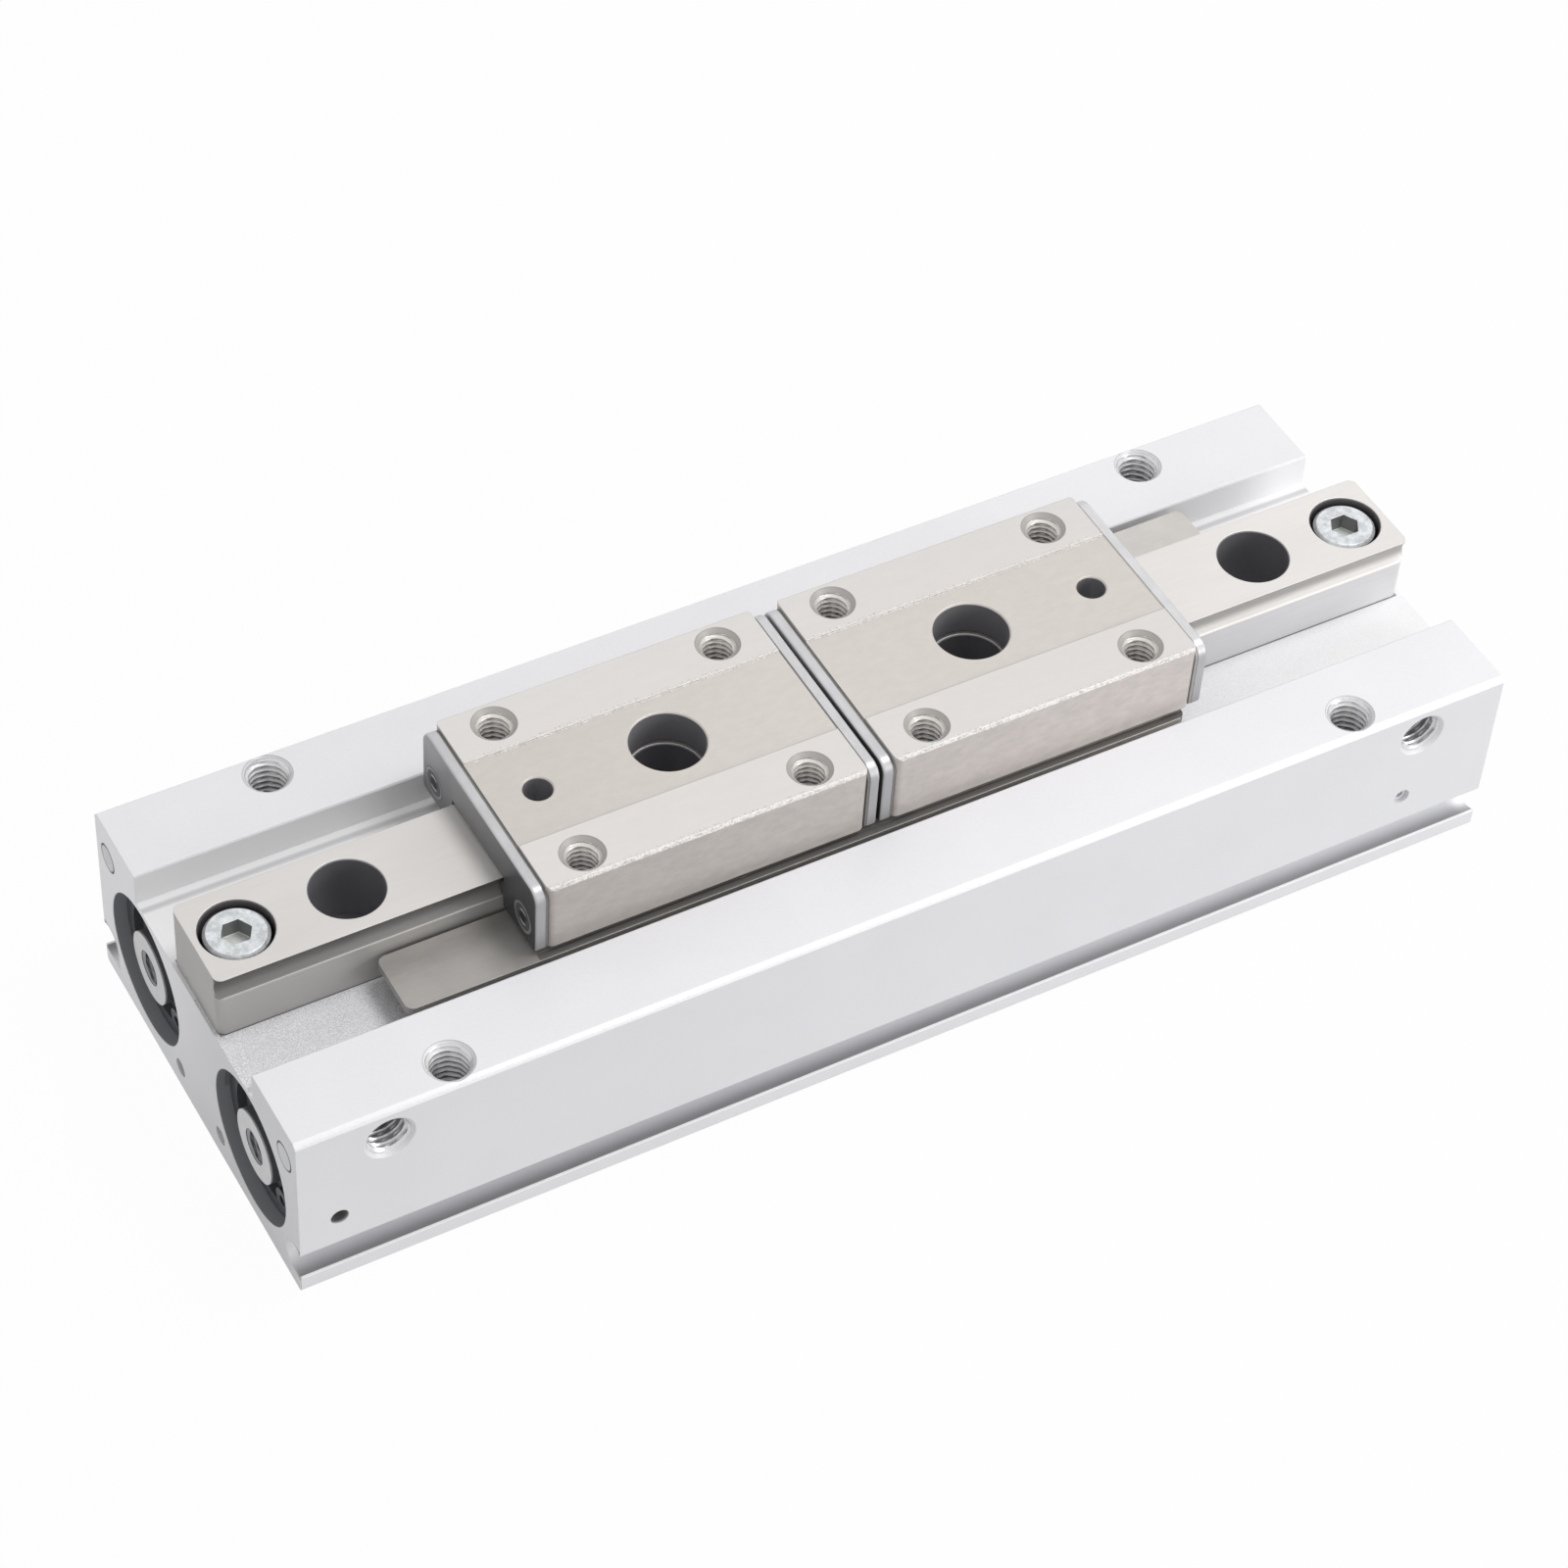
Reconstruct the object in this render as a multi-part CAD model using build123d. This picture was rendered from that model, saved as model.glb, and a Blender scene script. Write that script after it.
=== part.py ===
from build123d import *
import os
from math import acos, ceil, cos, hypot, pi, radians, sin, tan

# Low profile pneumatic gripper with two fingers on one rail. Millimetres.
# X runs along the rail, Y across it with the air ports on the -Y side, Z is up.
# The origin is the middle of the bottom face, and the fingers are closed.
# Both fingers are the same assembly, one turned half round about Z, so each piece of the right
# finger is modelled once and turned to make the left finger's.

# Housing
body_length = 145.3
body_width = 50.0
body_height = 23.7
long_edge_chamfer = 0.6
base_edge_radius = 0.6
channel_width = 29.2
channel_depth = 4.1
channel_edge_chamfer = 0.2

# Switch grooves along both sides
groove_height = 3.6
groove_base = 2.45
groove_radius = 2.2
groove_centre_inset = 1.4

# Travel of each finger, and the gap between the inner end plates when closed
stroke = 32.0
closed_gap = 0.3

# Guide rail
rail_length = 144.5
rail_width = 11.3
rail_height = 8.4
rail_end_radius = 0.9
raceway_depth = 0.8
raceway_radius = 1.6
raceway_below_top = 1.5
ball_diameter = 2.8
ball_spacing = 3.0

# Holes through rail and housing, for mounting from above
mount_hole_pitch = 36.8
rail_hole_diameter = 8.0
body_hole_diameter = 4.5
hole_edge = 0.15

# Socket cap screws that hold the rail
rail_screw_spacing = 135.0
rail_screw_seat_diameter = 7.9
rail_screw_seat_depth = 4.4
rail_screw_head_diameter = 7.0
rail_screw_head_height = 4.0
rail_screw_head_chamfer = 0.35
rail_screw_diameter = 4.0
rail_screw_length = 10.0
rail_screw_tail_room = 2.0
rail_screw_hole_play = 0.25
rail_screw_socket = 3.0
rail_screw_socket_depth = 2.0

# Threads and holes of the housing
body_thread_diameter = 5.0
body_thread_depth = 6.5
body_thread_spacing_x = 108.6
body_thread_inset = 3.2
body_thread_mouth = 0.2
port_diameter = 5.0
port_depth = 5.0
port_inset = 10.25
port_z = 19.5
port_mouth = 0.35
side_hole_diameter = 2.0
side_hole_z = 10.0
left_side_hole_inset = 4.5
left_side_hole_depth = 3.2
right_side_hole_inset = 11.25
side_screw_length = 2.4
side_screw_recess = 0.5
side_screw_socket = 0.9
side_screw_socket_depth = 1.0
end_hole_diameter = 2.2
end_hole_depth = 5.0
end_hole_spacing = 10.2
end_hole_z = 3.1

# Air passages drilled from the ends, each closed by a plug
passage_diameter = 3.0
passage_length = 12.0
passage_inset = 2.9
passage_z = 19.1
plug_diameter = 3.5
plug_length = 2.5
plug_edge_chamfer = 0.2
feed_diameter = 1.2
feed_break_in = 0.6

# Cylinder bores and their end caps
bore_diameter = 16.0
bore_spacing = 26.6
bore_z = 10.4
cap_seat_diameter = 17.2
cap_recess = 2.6
cap_flange_thickness = 3.0
cap_spigot_length = 4.0
cap_boss_diameter = 8.3
cap_boss_recess = 0.4
cap_thread_diameter = 4.0
cap_thread_depth = 6.0
ring_thickness = 1.0
ring_groove_depth = 0.4
ring_width = 2.0
ring_opening = 84.0
ring_lug_radius = 1.5
ring_lug_reach = 2.4
ring_eye_diameter = 1.3
o_ring_section = 1.5
o_ring_groove_width = 2.0
bumper_diameter = 10.0
bumper_thickness = 2.0

# Pistons, each with a head at both ends
piston_end_gap = 0.3
piston_edge_chamfer = 0.4
head_length = 16.0
neck_diameter = 12.0
joint_boss_length = 12.0
seal_from_end = 1.3
seal_width = 2.5
seal_depth = 1.8
wear_ring_from_end = 5.5
wear_ring_width = 4.0
wear_ring_depth = 1.0
magnet_from_end = 11.0
magnet_width = 3.5
magnet_depth = 2.0
joint_pin_diameter = 4.0
joint_pin_y = 11.0
joint_pin_bottom = 5.0
joint_slot_play = 0.5

# Finger blocks
finger_width = 26.5
finger_height = 8.8
finger_above_floor = 4.4
finger_length = 37.25
finger_edge_chamfer = 0.3
finger_corner_radius = 0.8
band_width = 12.7
band_depth = 0.2
rail_slot_play = 0.25
rail_slot_headroom = 0.5
finger_thread_diameter = 4.0
finger_thread_depth = 4.8
finger_thread_mouth = 0.45
finger_thread_spacing_x = 26.5
finger_thread_spacing_y = 20.2
access_hole_diameter = 8.3
locating_hole_diameter = 3.2

# End plates of the fingers and the gaskets behind them
end_plate_thickness = 1.2
end_plate_inset = 0.15
end_plate_drop = 0.2
end_plate_corner_radius = 1.6
end_plate_foot_radius = 0.5
end_plate_rim_radius = 0.35
end_plate_play = 0.35
end_seal_thickness = 0.3
end_seal_inset = 0.2
plate_screw_spacing = 20.7
plate_screw_above_base = 2.7
plate_screw_head_diameter = 4.0
plate_screw_head_height = 0.9
plate_screw_diameter = 2.0
plate_screw_length = 5.0

# Racks and pinion
module_size = 0.7
pinion_teeth = 16
pressure_angle = 20.0
addendum_factor = 0.85
dedendum_factor = 1.25
backlash = 0.12
flank_steps = 4
gear_thickness = 2.0
gear_rail_gap = 0.3
gear_lift = 0.2
pinion_face_play = 0.1
pinion_pin_diameter = 3.0
pinion_pin_depth = 8.0
spare_teeth = 2
rack_back = 7.4
rack_rail_gap = 0.45
rack_plate_thickness = 1.0
rack_plate_finger_gap = 0.7
rack_plate_wall_gap = 0.7
rack_plate_inner_reach = 55.0
rack_plate_outer_reach = 38.2
rack_plate_corner = 1.0
rack_pad_inset = 0.65
rack_pad_end_inset = 3.0
rack_screw_diameter = 2.5
rack_screw_head_diameter = 4.4
rack_screw_spacing = 18.0
rack_screw_grip = 3.0

# Clearances
running_clearance = 0.03
seat_clearance = 0.05
press_clearance = 0.01
wear_ring_clearance = 0.08
piston_clearance = 0.25
sliding_clearance = 0.2
rack_slot_end_play = 0.5

# Places in the housing that follow from the sizes above
end_x = body_length / 2
side_y = body_width / 2
wall_y = channel_width / 2
floor_z = body_height - channel_depth
bore_y = bore_spacing / 2
groove_z = groove_base + groove_height / 2
body_thread_y = side_y - body_thread_inset
port_x = end_x - port_inset
left_side_hole_x = left_side_hole_inset - end_x
right_side_hole_x = end_x - right_side_hole_inset
passage_y = side_y - passage_inset
cap_face_x = end_x - cap_recess
cap_shoulder_x = cap_face_x - cap_flange_thickness
cap_inner_x = cap_shoulder_x - cap_spigot_length
bumper_face_x = cap_inner_x - bumper_thickness
feed_x = (cap_inner_x + bumper_face_x) / 2

# Places on the rail
rail_side = rail_width / 2
rail_top = floor_z + rail_height
raceway_y = rail_side + raceway_radius - raceway_depth
raceway_z = rail_top - raceway_below_top
rail_screw_x = rail_screw_spacing / 2
rail_screw_seat_z = rail_top - rail_screw_seat_depth
mount_hole_xs = [step * mount_hole_pitch / 2 for step in (-3, -1, 1, 3)]

# Places on the right finger
finger_bottom = floor_z + finger_above_floor
finger_top = finger_bottom + finger_height
finger_inner_x = closed_gap / 2 + end_plate_thickness + end_seal_thickness
finger_outer_x = finger_inner_x + finger_length
finger_middle_x = (finger_inner_x + finger_outer_x) / 2
rail_slot_side = rail_side + rail_slot_play
rail_slot_top = rail_top + rail_slot_headroom
access_hole_x = mount_hole_pitch / 2
locating_hole_x = finger_middle_x + finger_thread_spacing_x / 2
plate_screw_z = finger_bottom + plate_screw_above_base

# Places of the gears, the rack plate and the piston of the right finger
pitch_radius = module_size * pinion_teeth / 2
addendum = module_size * addendum_factor
dedendum = module_size * dedendum_factor
tooth_pitch = pi * module_size
tooth_width = (tooth_pitch - backlash) / 2
gear_top = floor_z - gear_rail_gap
gear_bottom = gear_top - gear_thickness
gear_pocket_z = gear_bottom - gear_lift
rack_right_x = spare_teeth * tooth_pitch
rack_left_x = -(ceil(stroke / tooth_pitch) + spare_teeth) * tooth_pitch
rack_plate_top = finger_bottom - rack_plate_finger_gap
rack_plate_bottom = rack_plate_top - rack_plate_thickness
rack_inner_y = rail_side + rack_rail_gap
rack_outer_y = wall_y - rack_plate_wall_gap
rack_screw_y = (rack_inner_y + finger_width / 2) / 2
piston_middle_x = -stroke / 2
piston_half_length = bumper_face_x - piston_end_gap - stroke / 2
piston_radius = bore_diameter / 2 - piston_clearance


def block(x_range, y_range, z_range):
    """Box between two limits along each axis."""
    sizes = [abs(limits[1] - limits[0]) for limits in (x_range, y_range, z_range)]
    middle = [(limits[0] + limits[1]) / 2 for limits in (x_range, y_range, z_range)]
    return Pos(*middle) * Box(*sizes)


def post(diameter, x, y, z_range):
    """Upright cylinder."""
    return Pos(x, y, sum(z_range) / 2) * Cylinder(diameter / 2, abs(z_range[1] - z_range[0]))


def bar(diameter, x_range, y, z):
    """Cylinder along X."""
    middle = Pos(sum(x_range) / 2, y, z) * Rot(0, 90, 0)
    return middle * Cylinder(diameter / 2, abs(x_range[1] - x_range[0]))


def cross_bar(diameter, x, y_range, z):
    """Cylinder along Y."""
    middle = Pos(x, sum(y_range) / 2, z) * Rot(90, 0, 0)
    return middle * Cylinder(diameter / 2, abs(y_range[1] - y_range[0]))


def sleeve(outer_diameter, inner_diameter, x_range, y, z):
    """Ring about an axis along X."""
    return bar(outer_diameter, x_range, y, z) - bar(inner_diameter, x_range, y, z)


def top_hole(diameter, x, y, z_range, mouth):
    """Upright hole with a bevelled mouth at its top end."""
    bevel = Cone(diameter / 2, diameter / 2 + mouth, mouth)
    return post(diameter, x, y, z_range) + Pos(x, y, z_range[1] - mouth / 2) * bevel


def along_x(section, x_range):
    """Solid of a section drawn across the rail, Y to the right and Z up."""
    start = Plane.YZ.offset(min(x_range))
    return extrude(start * section, amount=abs(x_range[1] - x_range[0]))


def corners(section, side, height):
    """Corners of a section at both sides of its middle, at one height."""
    return [
        corner
        for corner in section.vertices()
        if abs(abs(corner.X) - side) < 0.001 and abs(corner.Y - height) < 0.001
    ]


def outer_face(piece, end):
    """Flat face of a piece at one of its ends along X."""
    return piece.faces().sort_by(Axis.X)[-1 if end > 0 else 0]


def group(solids):
    """Several like pieces in one node."""
    return Compound(children=list(solids))


def turned(piece):
    """The left finger's copy of a right finger's piece."""
    return Rot(0, 0, 180) * piece


def at_bore_ends(make):
    """One copy of a piece at each end of both bores."""
    return [make(end, side) for end in (-1, 1) for side in (-1, 1)]


def housing_section():
    """Outline of the extruded body, with the rail channel and the switch grooves."""
    section = Pos(0, body_height / 2) * Rectangle(body_width, body_height)
    section -= Pos(0, body_height) * Rectangle(channel_width, 2 * channel_depth)
    section = chamfer(corners(section, side_y, body_height), long_edge_chamfer)
    section = chamfer(corners(section, wall_y, body_height), channel_edge_chamfer)
    section = fillet(corners(section, side_y, 0), base_edge_radius)
    for side in (-1, 1):
        mouth = Rectangle(2 * groove_centre_inset, groove_height)
        section -= Pos(side * (side_y - groove_centre_inset), groove_z) * Circle(groove_radius)
        section -= Pos(side * side_y, groove_z) * mouth
    return section


def bore_cuts():
    """The two cylinder bores, with a seat and a ring groove for the cap at each end."""
    cuts = [bar(bore_diameter, (-end_x, end_x), side * bore_y, bore_z) for side in (-1, 1)]

    def seat(end, side):
        y = side * bore_y
        groove_diameter = cap_seat_diameter + 2 * ring_groove_depth
        groove_x = (end * cap_face_x, end * (cap_face_x + ring_thickness))
        cut = bar(cap_seat_diameter, (end * cap_shoulder_x, end * end_x), y, bore_z)
        return cut + bar(groove_diameter, groove_x, y, bore_z)

    return cuts + at_bore_ends(seat)


def passage_cuts():
    """Air passages from the end faces, their plug seats and the feeds into the bores."""

    def passage(end, side):
        y = side * passage_y
        way = bar(passage_diameter, (end * end_x, end * (end_x - passage_length)), y, passage_z)
        seat = bar(plug_diameter, (end * end_x, end * (end_x - plug_length)), y, passage_z)
        across = side * bore_y - y
        down = bore_z - passage_z
        feed_length = hypot(across, down) - bore_diameter / 2 + feed_break_in
        start = Plane(origin=(end * feed_x, y, passage_z), z_dir=(0, across, down))
        feed = Cylinder(feed_diameter / 2, feed_length, align=(Align.CENTER, Align.CENTER, Align.MIN))
        return way + seat + start * feed

    return at_bore_ends(passage)


def housing_holes():
    """Threaded holes, ports, mounting holes and the small holes in the sides and ends."""
    cuts = []
    for end in (-1, 1):
        for side in (-1, 1):
            x = end * body_thread_spacing_x / 2
            y = side * body_thread_y
            depth = (body_height - body_thread_depth, body_height)
            cuts.append(top_hole(body_thread_diameter, x, y, depth, body_thread_mouth))
            hole_x = (end * end_x, end * (end_x - end_hole_depth))
            cuts.append(bar(end_hole_diameter, hole_x, side * end_hole_spacing / 2, end_hole_z))
        mouth = Cone(port_diameter / 2, port_diameter / 2 + port_mouth, port_mouth)
        at_mouth = Pos(end * port_x, port_mouth / 2 - side_y, port_z) * Rot(90, 0, 0)
        cuts.append(cross_bar(port_diameter, end * port_x, (-side_y, port_depth - side_y), port_z))
        cuts.append(at_mouth * mouth)
        tail_z = rail_screw_seat_z - rail_screw_length - rail_screw_tail_room
        screw_diameter = rail_screw_diameter + 2 * press_clearance
        cuts.append(post(screw_diameter, end * rail_screw_x, 0, (tail_z, floor_z)))
    for x in mount_hole_xs:
        cuts.append(post(body_hole_diameter, x, 0, (0, floor_z)))
    left_hole_y = (-side_y, left_side_hole_depth - side_y)
    cuts.append(cross_bar(side_hole_diameter, left_side_hole_x, left_hole_y, side_hole_z))
    cuts.append(cross_bar(side_hole_diameter, right_side_hole_x, (-side_y, bore_y), side_hole_z))
    return cuts


def mechanism_cuts():
    """Pocket of the pinion, slots of the racks and slots of the joint pins."""
    pocket_radius = pitch_radius + addendum + sliding_clearance
    cuts = [post(2 * pocket_radius, 0, 0, (gear_pocket_z, floor_z))]
    pin_diameter = pinion_pin_diameter + 2 * press_clearance
    cuts.append(post(pin_diameter, 0, 0, (gear_pocket_z - pinion_pin_depth, gear_pocket_z)))
    slot_end = rack_slot_end_play - rack_left_x
    joint_end = stroke / 2 + joint_pin_diameter / 2 + joint_slot_play
    joint_half_width = joint_pin_diameter / 2 + joint_slot_play
    for side in (-1, 1):
        inner_y = side * (pitch_radius - addendum - sliding_clearance)
        outer_y = side * (rack_back + sliding_clearance)
        cuts.append(block((-slot_end, slot_end), (inner_y, outer_y), (gear_pocket_z, floor_z)))
        joint_y = (side * joint_pin_y - joint_half_width, side * joint_pin_y + joint_half_width)
        cuts.append(block((-joint_end, joint_end), joint_y, (bore_z, floor_z)))
    return cuts


def housing():
    """Extruded and machined aluminium body."""
    body = along_x(housing_section(), (-end_x, end_x))
    for cut in bore_cuts() + passage_cuts() + housing_holes() + mechanism_cuts():
        body -= cut
    return body


def rail_section():
    """Outline of the rail, with a round raceway along each side."""
    section = Pos(0, floor_z + rail_height / 2) * Rectangle(rail_width, rail_height)
    for side in (-1, 1):
        section -= Pos(side * raceway_y, raceway_z) * Circle(raceway_radius)
    return section


def guide_rail():
    """Ground steel rail on the floor of the channel."""
    rail = along_x(rail_section(), (-rail_length / 2, rail_length / 2))
    plan = RectangleRounded(rail_length, rail_width, rail_end_radius)
    rail &= extrude(Pos(0, 0, floor_z) * plan, amount=rail_height)
    for x in mount_hole_xs:
        rail -= top_hole(rail_hole_diameter, x, 0, (floor_z, rail_top), hole_edge)
    for end in (-1, 1):
        x = end * rail_screw_x
        through_diameter = rail_screw_diameter + 2 * rail_screw_hole_play
        rail -= post(through_diameter, x, 0, (floor_z, rail_top))
        rail -= top_hole(rail_screw_seat_diameter, x, 0, (rail_screw_seat_z, rail_top), hole_edge)
    return rail


def rail_screw(end):
    """Hex socket cap screw at one end of the rail."""
    x = end * rail_screw_x
    head_z = rail_screw_seat_z + rail_screw_head_height
    head = post(rail_screw_head_diameter, x, 0, (rail_screw_seat_z, head_z))
    head = chamfer(head.edges().group_by(Axis.Z)[-1], rail_screw_head_chamfer)
    shank_z = rail_screw_seat_z - rail_screw_length
    shank = post(rail_screw_diameter, x, 0, (shank_z, rail_screw_seat_z))
    hexagon = RegularPolygon(rail_screw_socket / 2, 6, major_radius=False)
    socket_z = head_z - rail_screw_socket_depth
    socket = extrude(Pos(x, 0, socket_z) * hexagon, amount=rail_screw_socket_depth)
    return head + shank - socket


def bore_cap(end, side):
    """End cap of a bore: flange, spigot with its O-ring groove, boss with a pull-out thread."""
    y = side * bore_y
    boss_x = end_x - cap_boss_recess
    fit_play = 2 * seat_clearance
    cap = bar(cap_seat_diameter - fit_play, (end * cap_shoulder_x, end * cap_face_x), y, bore_z)
    cap += bar(bore_diameter - fit_play, (end * cap_inner_x, end * cap_shoulder_x), y, bore_z)
    cap += bar(cap_boss_diameter, (end * cap_face_x, end * boss_x), y, bore_z)
    thread_x = (end * boss_x, end * (boss_x - cap_thread_depth))
    cap -= bar(cap_thread_diameter, thread_x, y, bore_z)
    groove_outer = (cap_inner_x + cap_shoulder_x + o_ring_groove_width) / 2
    groove_x = (end * groove_outer, end * (groove_outer - o_ring_groove_width))
    groove_floor = bore_diameter - 2 * o_ring_section - 4 * seat_clearance
    return cap - sleeve(bore_diameter, groove_floor, groove_x, y, bore_z)


def retaining_ring(end, side):
    """Flat C-shaped ring in front of a cap, open towards the ports, with two eyes."""
    outer = cap_seat_diameter / 2 + ring_groove_depth - seat_clearance
    half_opening = radians(ring_opening / 2)
    reach = 2 * outer
    wedge = Polyline(
        (0, 0),
        (-reach * cos(half_opening), reach * sin(half_opening)),
        (-reach * cos(half_opening), -reach * sin(half_opening)),
        close=True,
    )
    section = Circle(outer) - Circle(outer - ring_width) - make_face(wedge)
    lug_radius_out = outer - ring_lug_reach
    for turn in (-1, 1):
        angle = pi + turn * (half_opening + ring_lug_radius / lug_radius_out)
        lug = Pos(lug_radius_out * cos(angle), lug_radius_out * sin(angle))
        section += lug * Circle(ring_lug_radius)
        section -= lug * Circle(ring_eye_diameter / 2)
    start = cap_face_x if end > 0 else -cap_face_x - ring_thickness
    return along_x(Pos(side * bore_y, bore_z) * section, (start, start + ring_thickness))


def cap_o_ring(end, side):
    """O-ring in the groove of a cap."""
    middle_radius = bore_diameter / 2 - seat_clearance - o_ring_section / 2
    middle_x = end * (cap_inner_x + cap_shoulder_x) / 2
    return Pos(middle_x, side * bore_y, bore_z) * Rot(0, 90, 0) * Torus(middle_radius, o_ring_section / 2)


def cap_bumper(end, side):
    """Rubber disc on the inner face of a cap."""
    return bar(bumper_diameter, (end * bumper_face_x, end * cap_inner_x), side * bore_y, bore_z)


def passage_plug(end, side):
    """Plug pressed into the mouth of an air passage, flush with the end face."""
    plug_x = (end * (end_x - plug_length), end * end_x)
    plug = bar(plug_diameter - 2 * press_clearance, plug_x, side * passage_y, passage_z)
    return chamfer(outer_face(plug, end).edges(), plug_edge_chamfer)


def cross_passage_screw():
    """Small set screw that closes the cross passage on the port side."""
    outer_y = side_screw_recess - side_y
    diameter = side_hole_diameter - 2 * press_clearance
    screw = cross_bar(diameter, right_side_hole_x, (outer_y, outer_y + side_screw_length), side_hole_z)
    hexagon = RegularPolygon(side_screw_socket / 2, 6, major_radius=False)
    mouth = Plane(origin=(right_side_hole_x, outer_y, side_hole_z), z_dir=(0, 1, 0))
    return screw - extrude(mouth * hexagon, amount=side_screw_socket_depth)


def pinion_pin():
    """Shaft of the pinion, pressed into the housing."""
    return post(pinion_pin_diameter, 0, 0, (gear_pocket_z - pinion_pin_depth, gear_top))


def involute(angle):
    """Involute function of a pressure angle."""
    return tan(angle) - angle


def pinion_flank():
    """Points of one flank as radius and angle from the tooth's middle, from root to tip."""
    alpha = radians(pressure_angle)
    base_radius = pitch_radius * cos(alpha)
    root_radius = pitch_radius - dedendum
    tip_radius = pitch_radius + addendum
    base_angle = tooth_width / 2 / pitch_radius + involute(alpha)
    flank = [(root_radius, base_angle)]
    for step in range(flank_steps + 1):
        radius = base_radius + (tip_radius - base_radius) * step / flank_steps
        flank.append((radius, base_angle - involute(acos(base_radius / radius))))
    return flank


def pinion():
    """Spur gear between the two racks, turning on its pin."""
    flank = pinion_flank()
    points = []
    for tooth in range(pinion_teeth):
        middle = 2 * pi * tooth / pinion_teeth
        for radius, angle in flank:
            points.append((radius * cos(middle - angle), radius * sin(middle - angle)))
        for radius, angle in reversed(flank):
            points.append((radius * cos(middle + angle), radius * sin(middle + angle)))
    outline = make_face(Polyline(*points, close=True))
    thickness = gear_thickness - 2 * pinion_face_play
    gear = extrude(Pos(0, 0, gear_bottom + pinion_face_play) * outline, amount=thickness)
    bore = pinion_pin_diameter + 2 * running_clearance
    return gear - post(bore, 0, 0, (gear_bottom, gear_top))


def finger_section():
    """Outline of a finger block: two raised pads, a lower band, and the slot over the rail."""
    half_width = finger_width / 2
    middle_z = (finger_bottom + finger_top) / 2
    section = Pos(0, middle_z) * Rectangle(finger_width, finger_height)
    section -= Pos(0, finger_top) * Rectangle(band_width, 2 * band_depth)
    section = chamfer(corners(section, half_width, finger_top), finger_edge_chamfer)
    slot_height = 2 * (rail_slot_top - finger_bottom)
    section -= Pos(0, finger_bottom) * Rectangle(2 * rail_slot_side, slot_height)
    for side in (-1, 1):
        section -= Pos(side * raceway_y, raceway_z) * Circle(raceway_radius)
    return section


def finger_block():
    """Right finger's carriage block with its threads, locating hole and access hole."""
    finger = along_x(finger_section(), (finger_inner_x, finger_outer_x))
    plan = RectangleRounded(finger_length, finger_width, finger_corner_radius)
    finger &= extrude(Pos(finger_middle_x, 0, finger_bottom) * plan, amount=finger_height)
    thread_z = (finger_top - finger_thread_depth, finger_top)
    for end in (-1, 1):
        for side in (-1, 1):
            x = finger_middle_x + end * finger_thread_spacing_x / 2
            y = side * finger_thread_spacing_y / 2
            finger -= top_hole(finger_thread_diameter, x, y, thread_z, finger_thread_mouth)
            finger -= plate_screw_hole(end, side)
        rack_screw_x = finger_middle_x + end * rack_screw_spacing / 2
        screw_diameter = rack_screw_diameter + 2 * press_clearance
        grip_z = (finger_bottom, finger_bottom + rack_screw_grip)
        finger -= post(screw_diameter, rack_screw_x, -rack_screw_y, grip_z)
    band_z = finger_top - band_depth
    through_z = (rail_slot_top, band_z)
    finger -= top_hole(access_hole_diameter, access_hole_x, 0, through_z, hole_edge)
    finger -= top_hole(locating_hole_diameter, locating_hole_x, 0, through_z, hole_edge)
    return finger


def plate_screw_hole(end, side):
    """Hole in an end face of the right block for an end plate's screw."""
    face_x = finger_middle_x + end * finger_length / 2
    depth = plate_screw_length - end_plate_thickness - end_seal_thickness
    diameter = plate_screw_diameter + 2 * press_clearance
    y = side * plate_screw_spacing / 2
    return bar(diameter, (face_x, face_x - end * depth), y, plate_screw_z)


def end_outline(inset):
    """Outer shape of an end plate or gasket."""
    half_width = finger_width / 2 - inset
    top = finger_top - inset - band_depth
    bottom = finger_bottom - end_plate_drop
    section = Pos(0, (top + bottom) / 2) * Rectangle(2 * half_width, top - bottom)
    section = fillet(corners(section, half_width, top), end_plate_corner_radius)
    return fillet(corners(section, half_width, bottom), end_plate_foot_radius)


def end_opening():
    """Opening of an end plate or gasket, clear of the rail but reaching into its raceways."""
    bottom = finger_bottom - end_plate_drop
    opening_height = 2 * (rail_top + end_plate_play - bottom)
    opening = Pos(0, bottom) * Rectangle(2 * (rail_side + end_plate_play), opening_height)
    for side in (-1, 1):
        opening -= Pos(side * raceway_y, raceway_z) * Circle(raceway_radius - end_plate_play)
    return opening


def end_plate(end):
    """End plate of the right block, with two seats for its screws."""
    face_x = finger_middle_x + end * (finger_length / 2 + end_seal_thickness)
    plate_x = (face_x, face_x + end * end_plate_thickness)
    plate = along_x(end_outline(end_plate_inset), plate_x)
    plate = fillet(outer_face(plate, end).edges(), end_plate_rim_radius)
    plate -= along_x(end_opening(), plate_x)
    for side in (-1, 1):
        plate -= plate_screw(end, side, press_clearance)
    return plate


def end_seal(end):
    """Gasket between the right block and an end plate."""
    face_x = finger_middle_x + end * finger_length / 2
    section = end_outline(end_seal_inset) - end_opening()
    seal = along_x(section, (face_x, face_x + end * end_seal_thickness))
    for side in (-1, 1):
        seal -= plate_screw(end, side, press_clearance)
    return seal


def plate_screw(end, side, play=0.0):
    """Countersunk screw of an end plate, or its hole when play is given."""
    outer_x = finger_middle_x + end * (finger_length / 2 + end_seal_thickness + end_plate_thickness)
    y = side * plate_screw_spacing / 2
    neck_x = outer_x - end * plate_screw_head_height
    head = Cone(
        plate_screw_diameter / 2 + play,
        plate_screw_head_diameter / 2 + play,
        plate_screw_head_height,
    )
    at_head = Pos((outer_x + neck_x) / 2, y, plate_screw_z) * Rot(0, end * 90, 0)
    tip_x = outer_x - end * plate_screw_length
    shank = bar(plate_screw_diameter + 2 * play, (neck_x, tip_x), y, plate_screw_z)
    return at_head * head + shank


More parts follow.
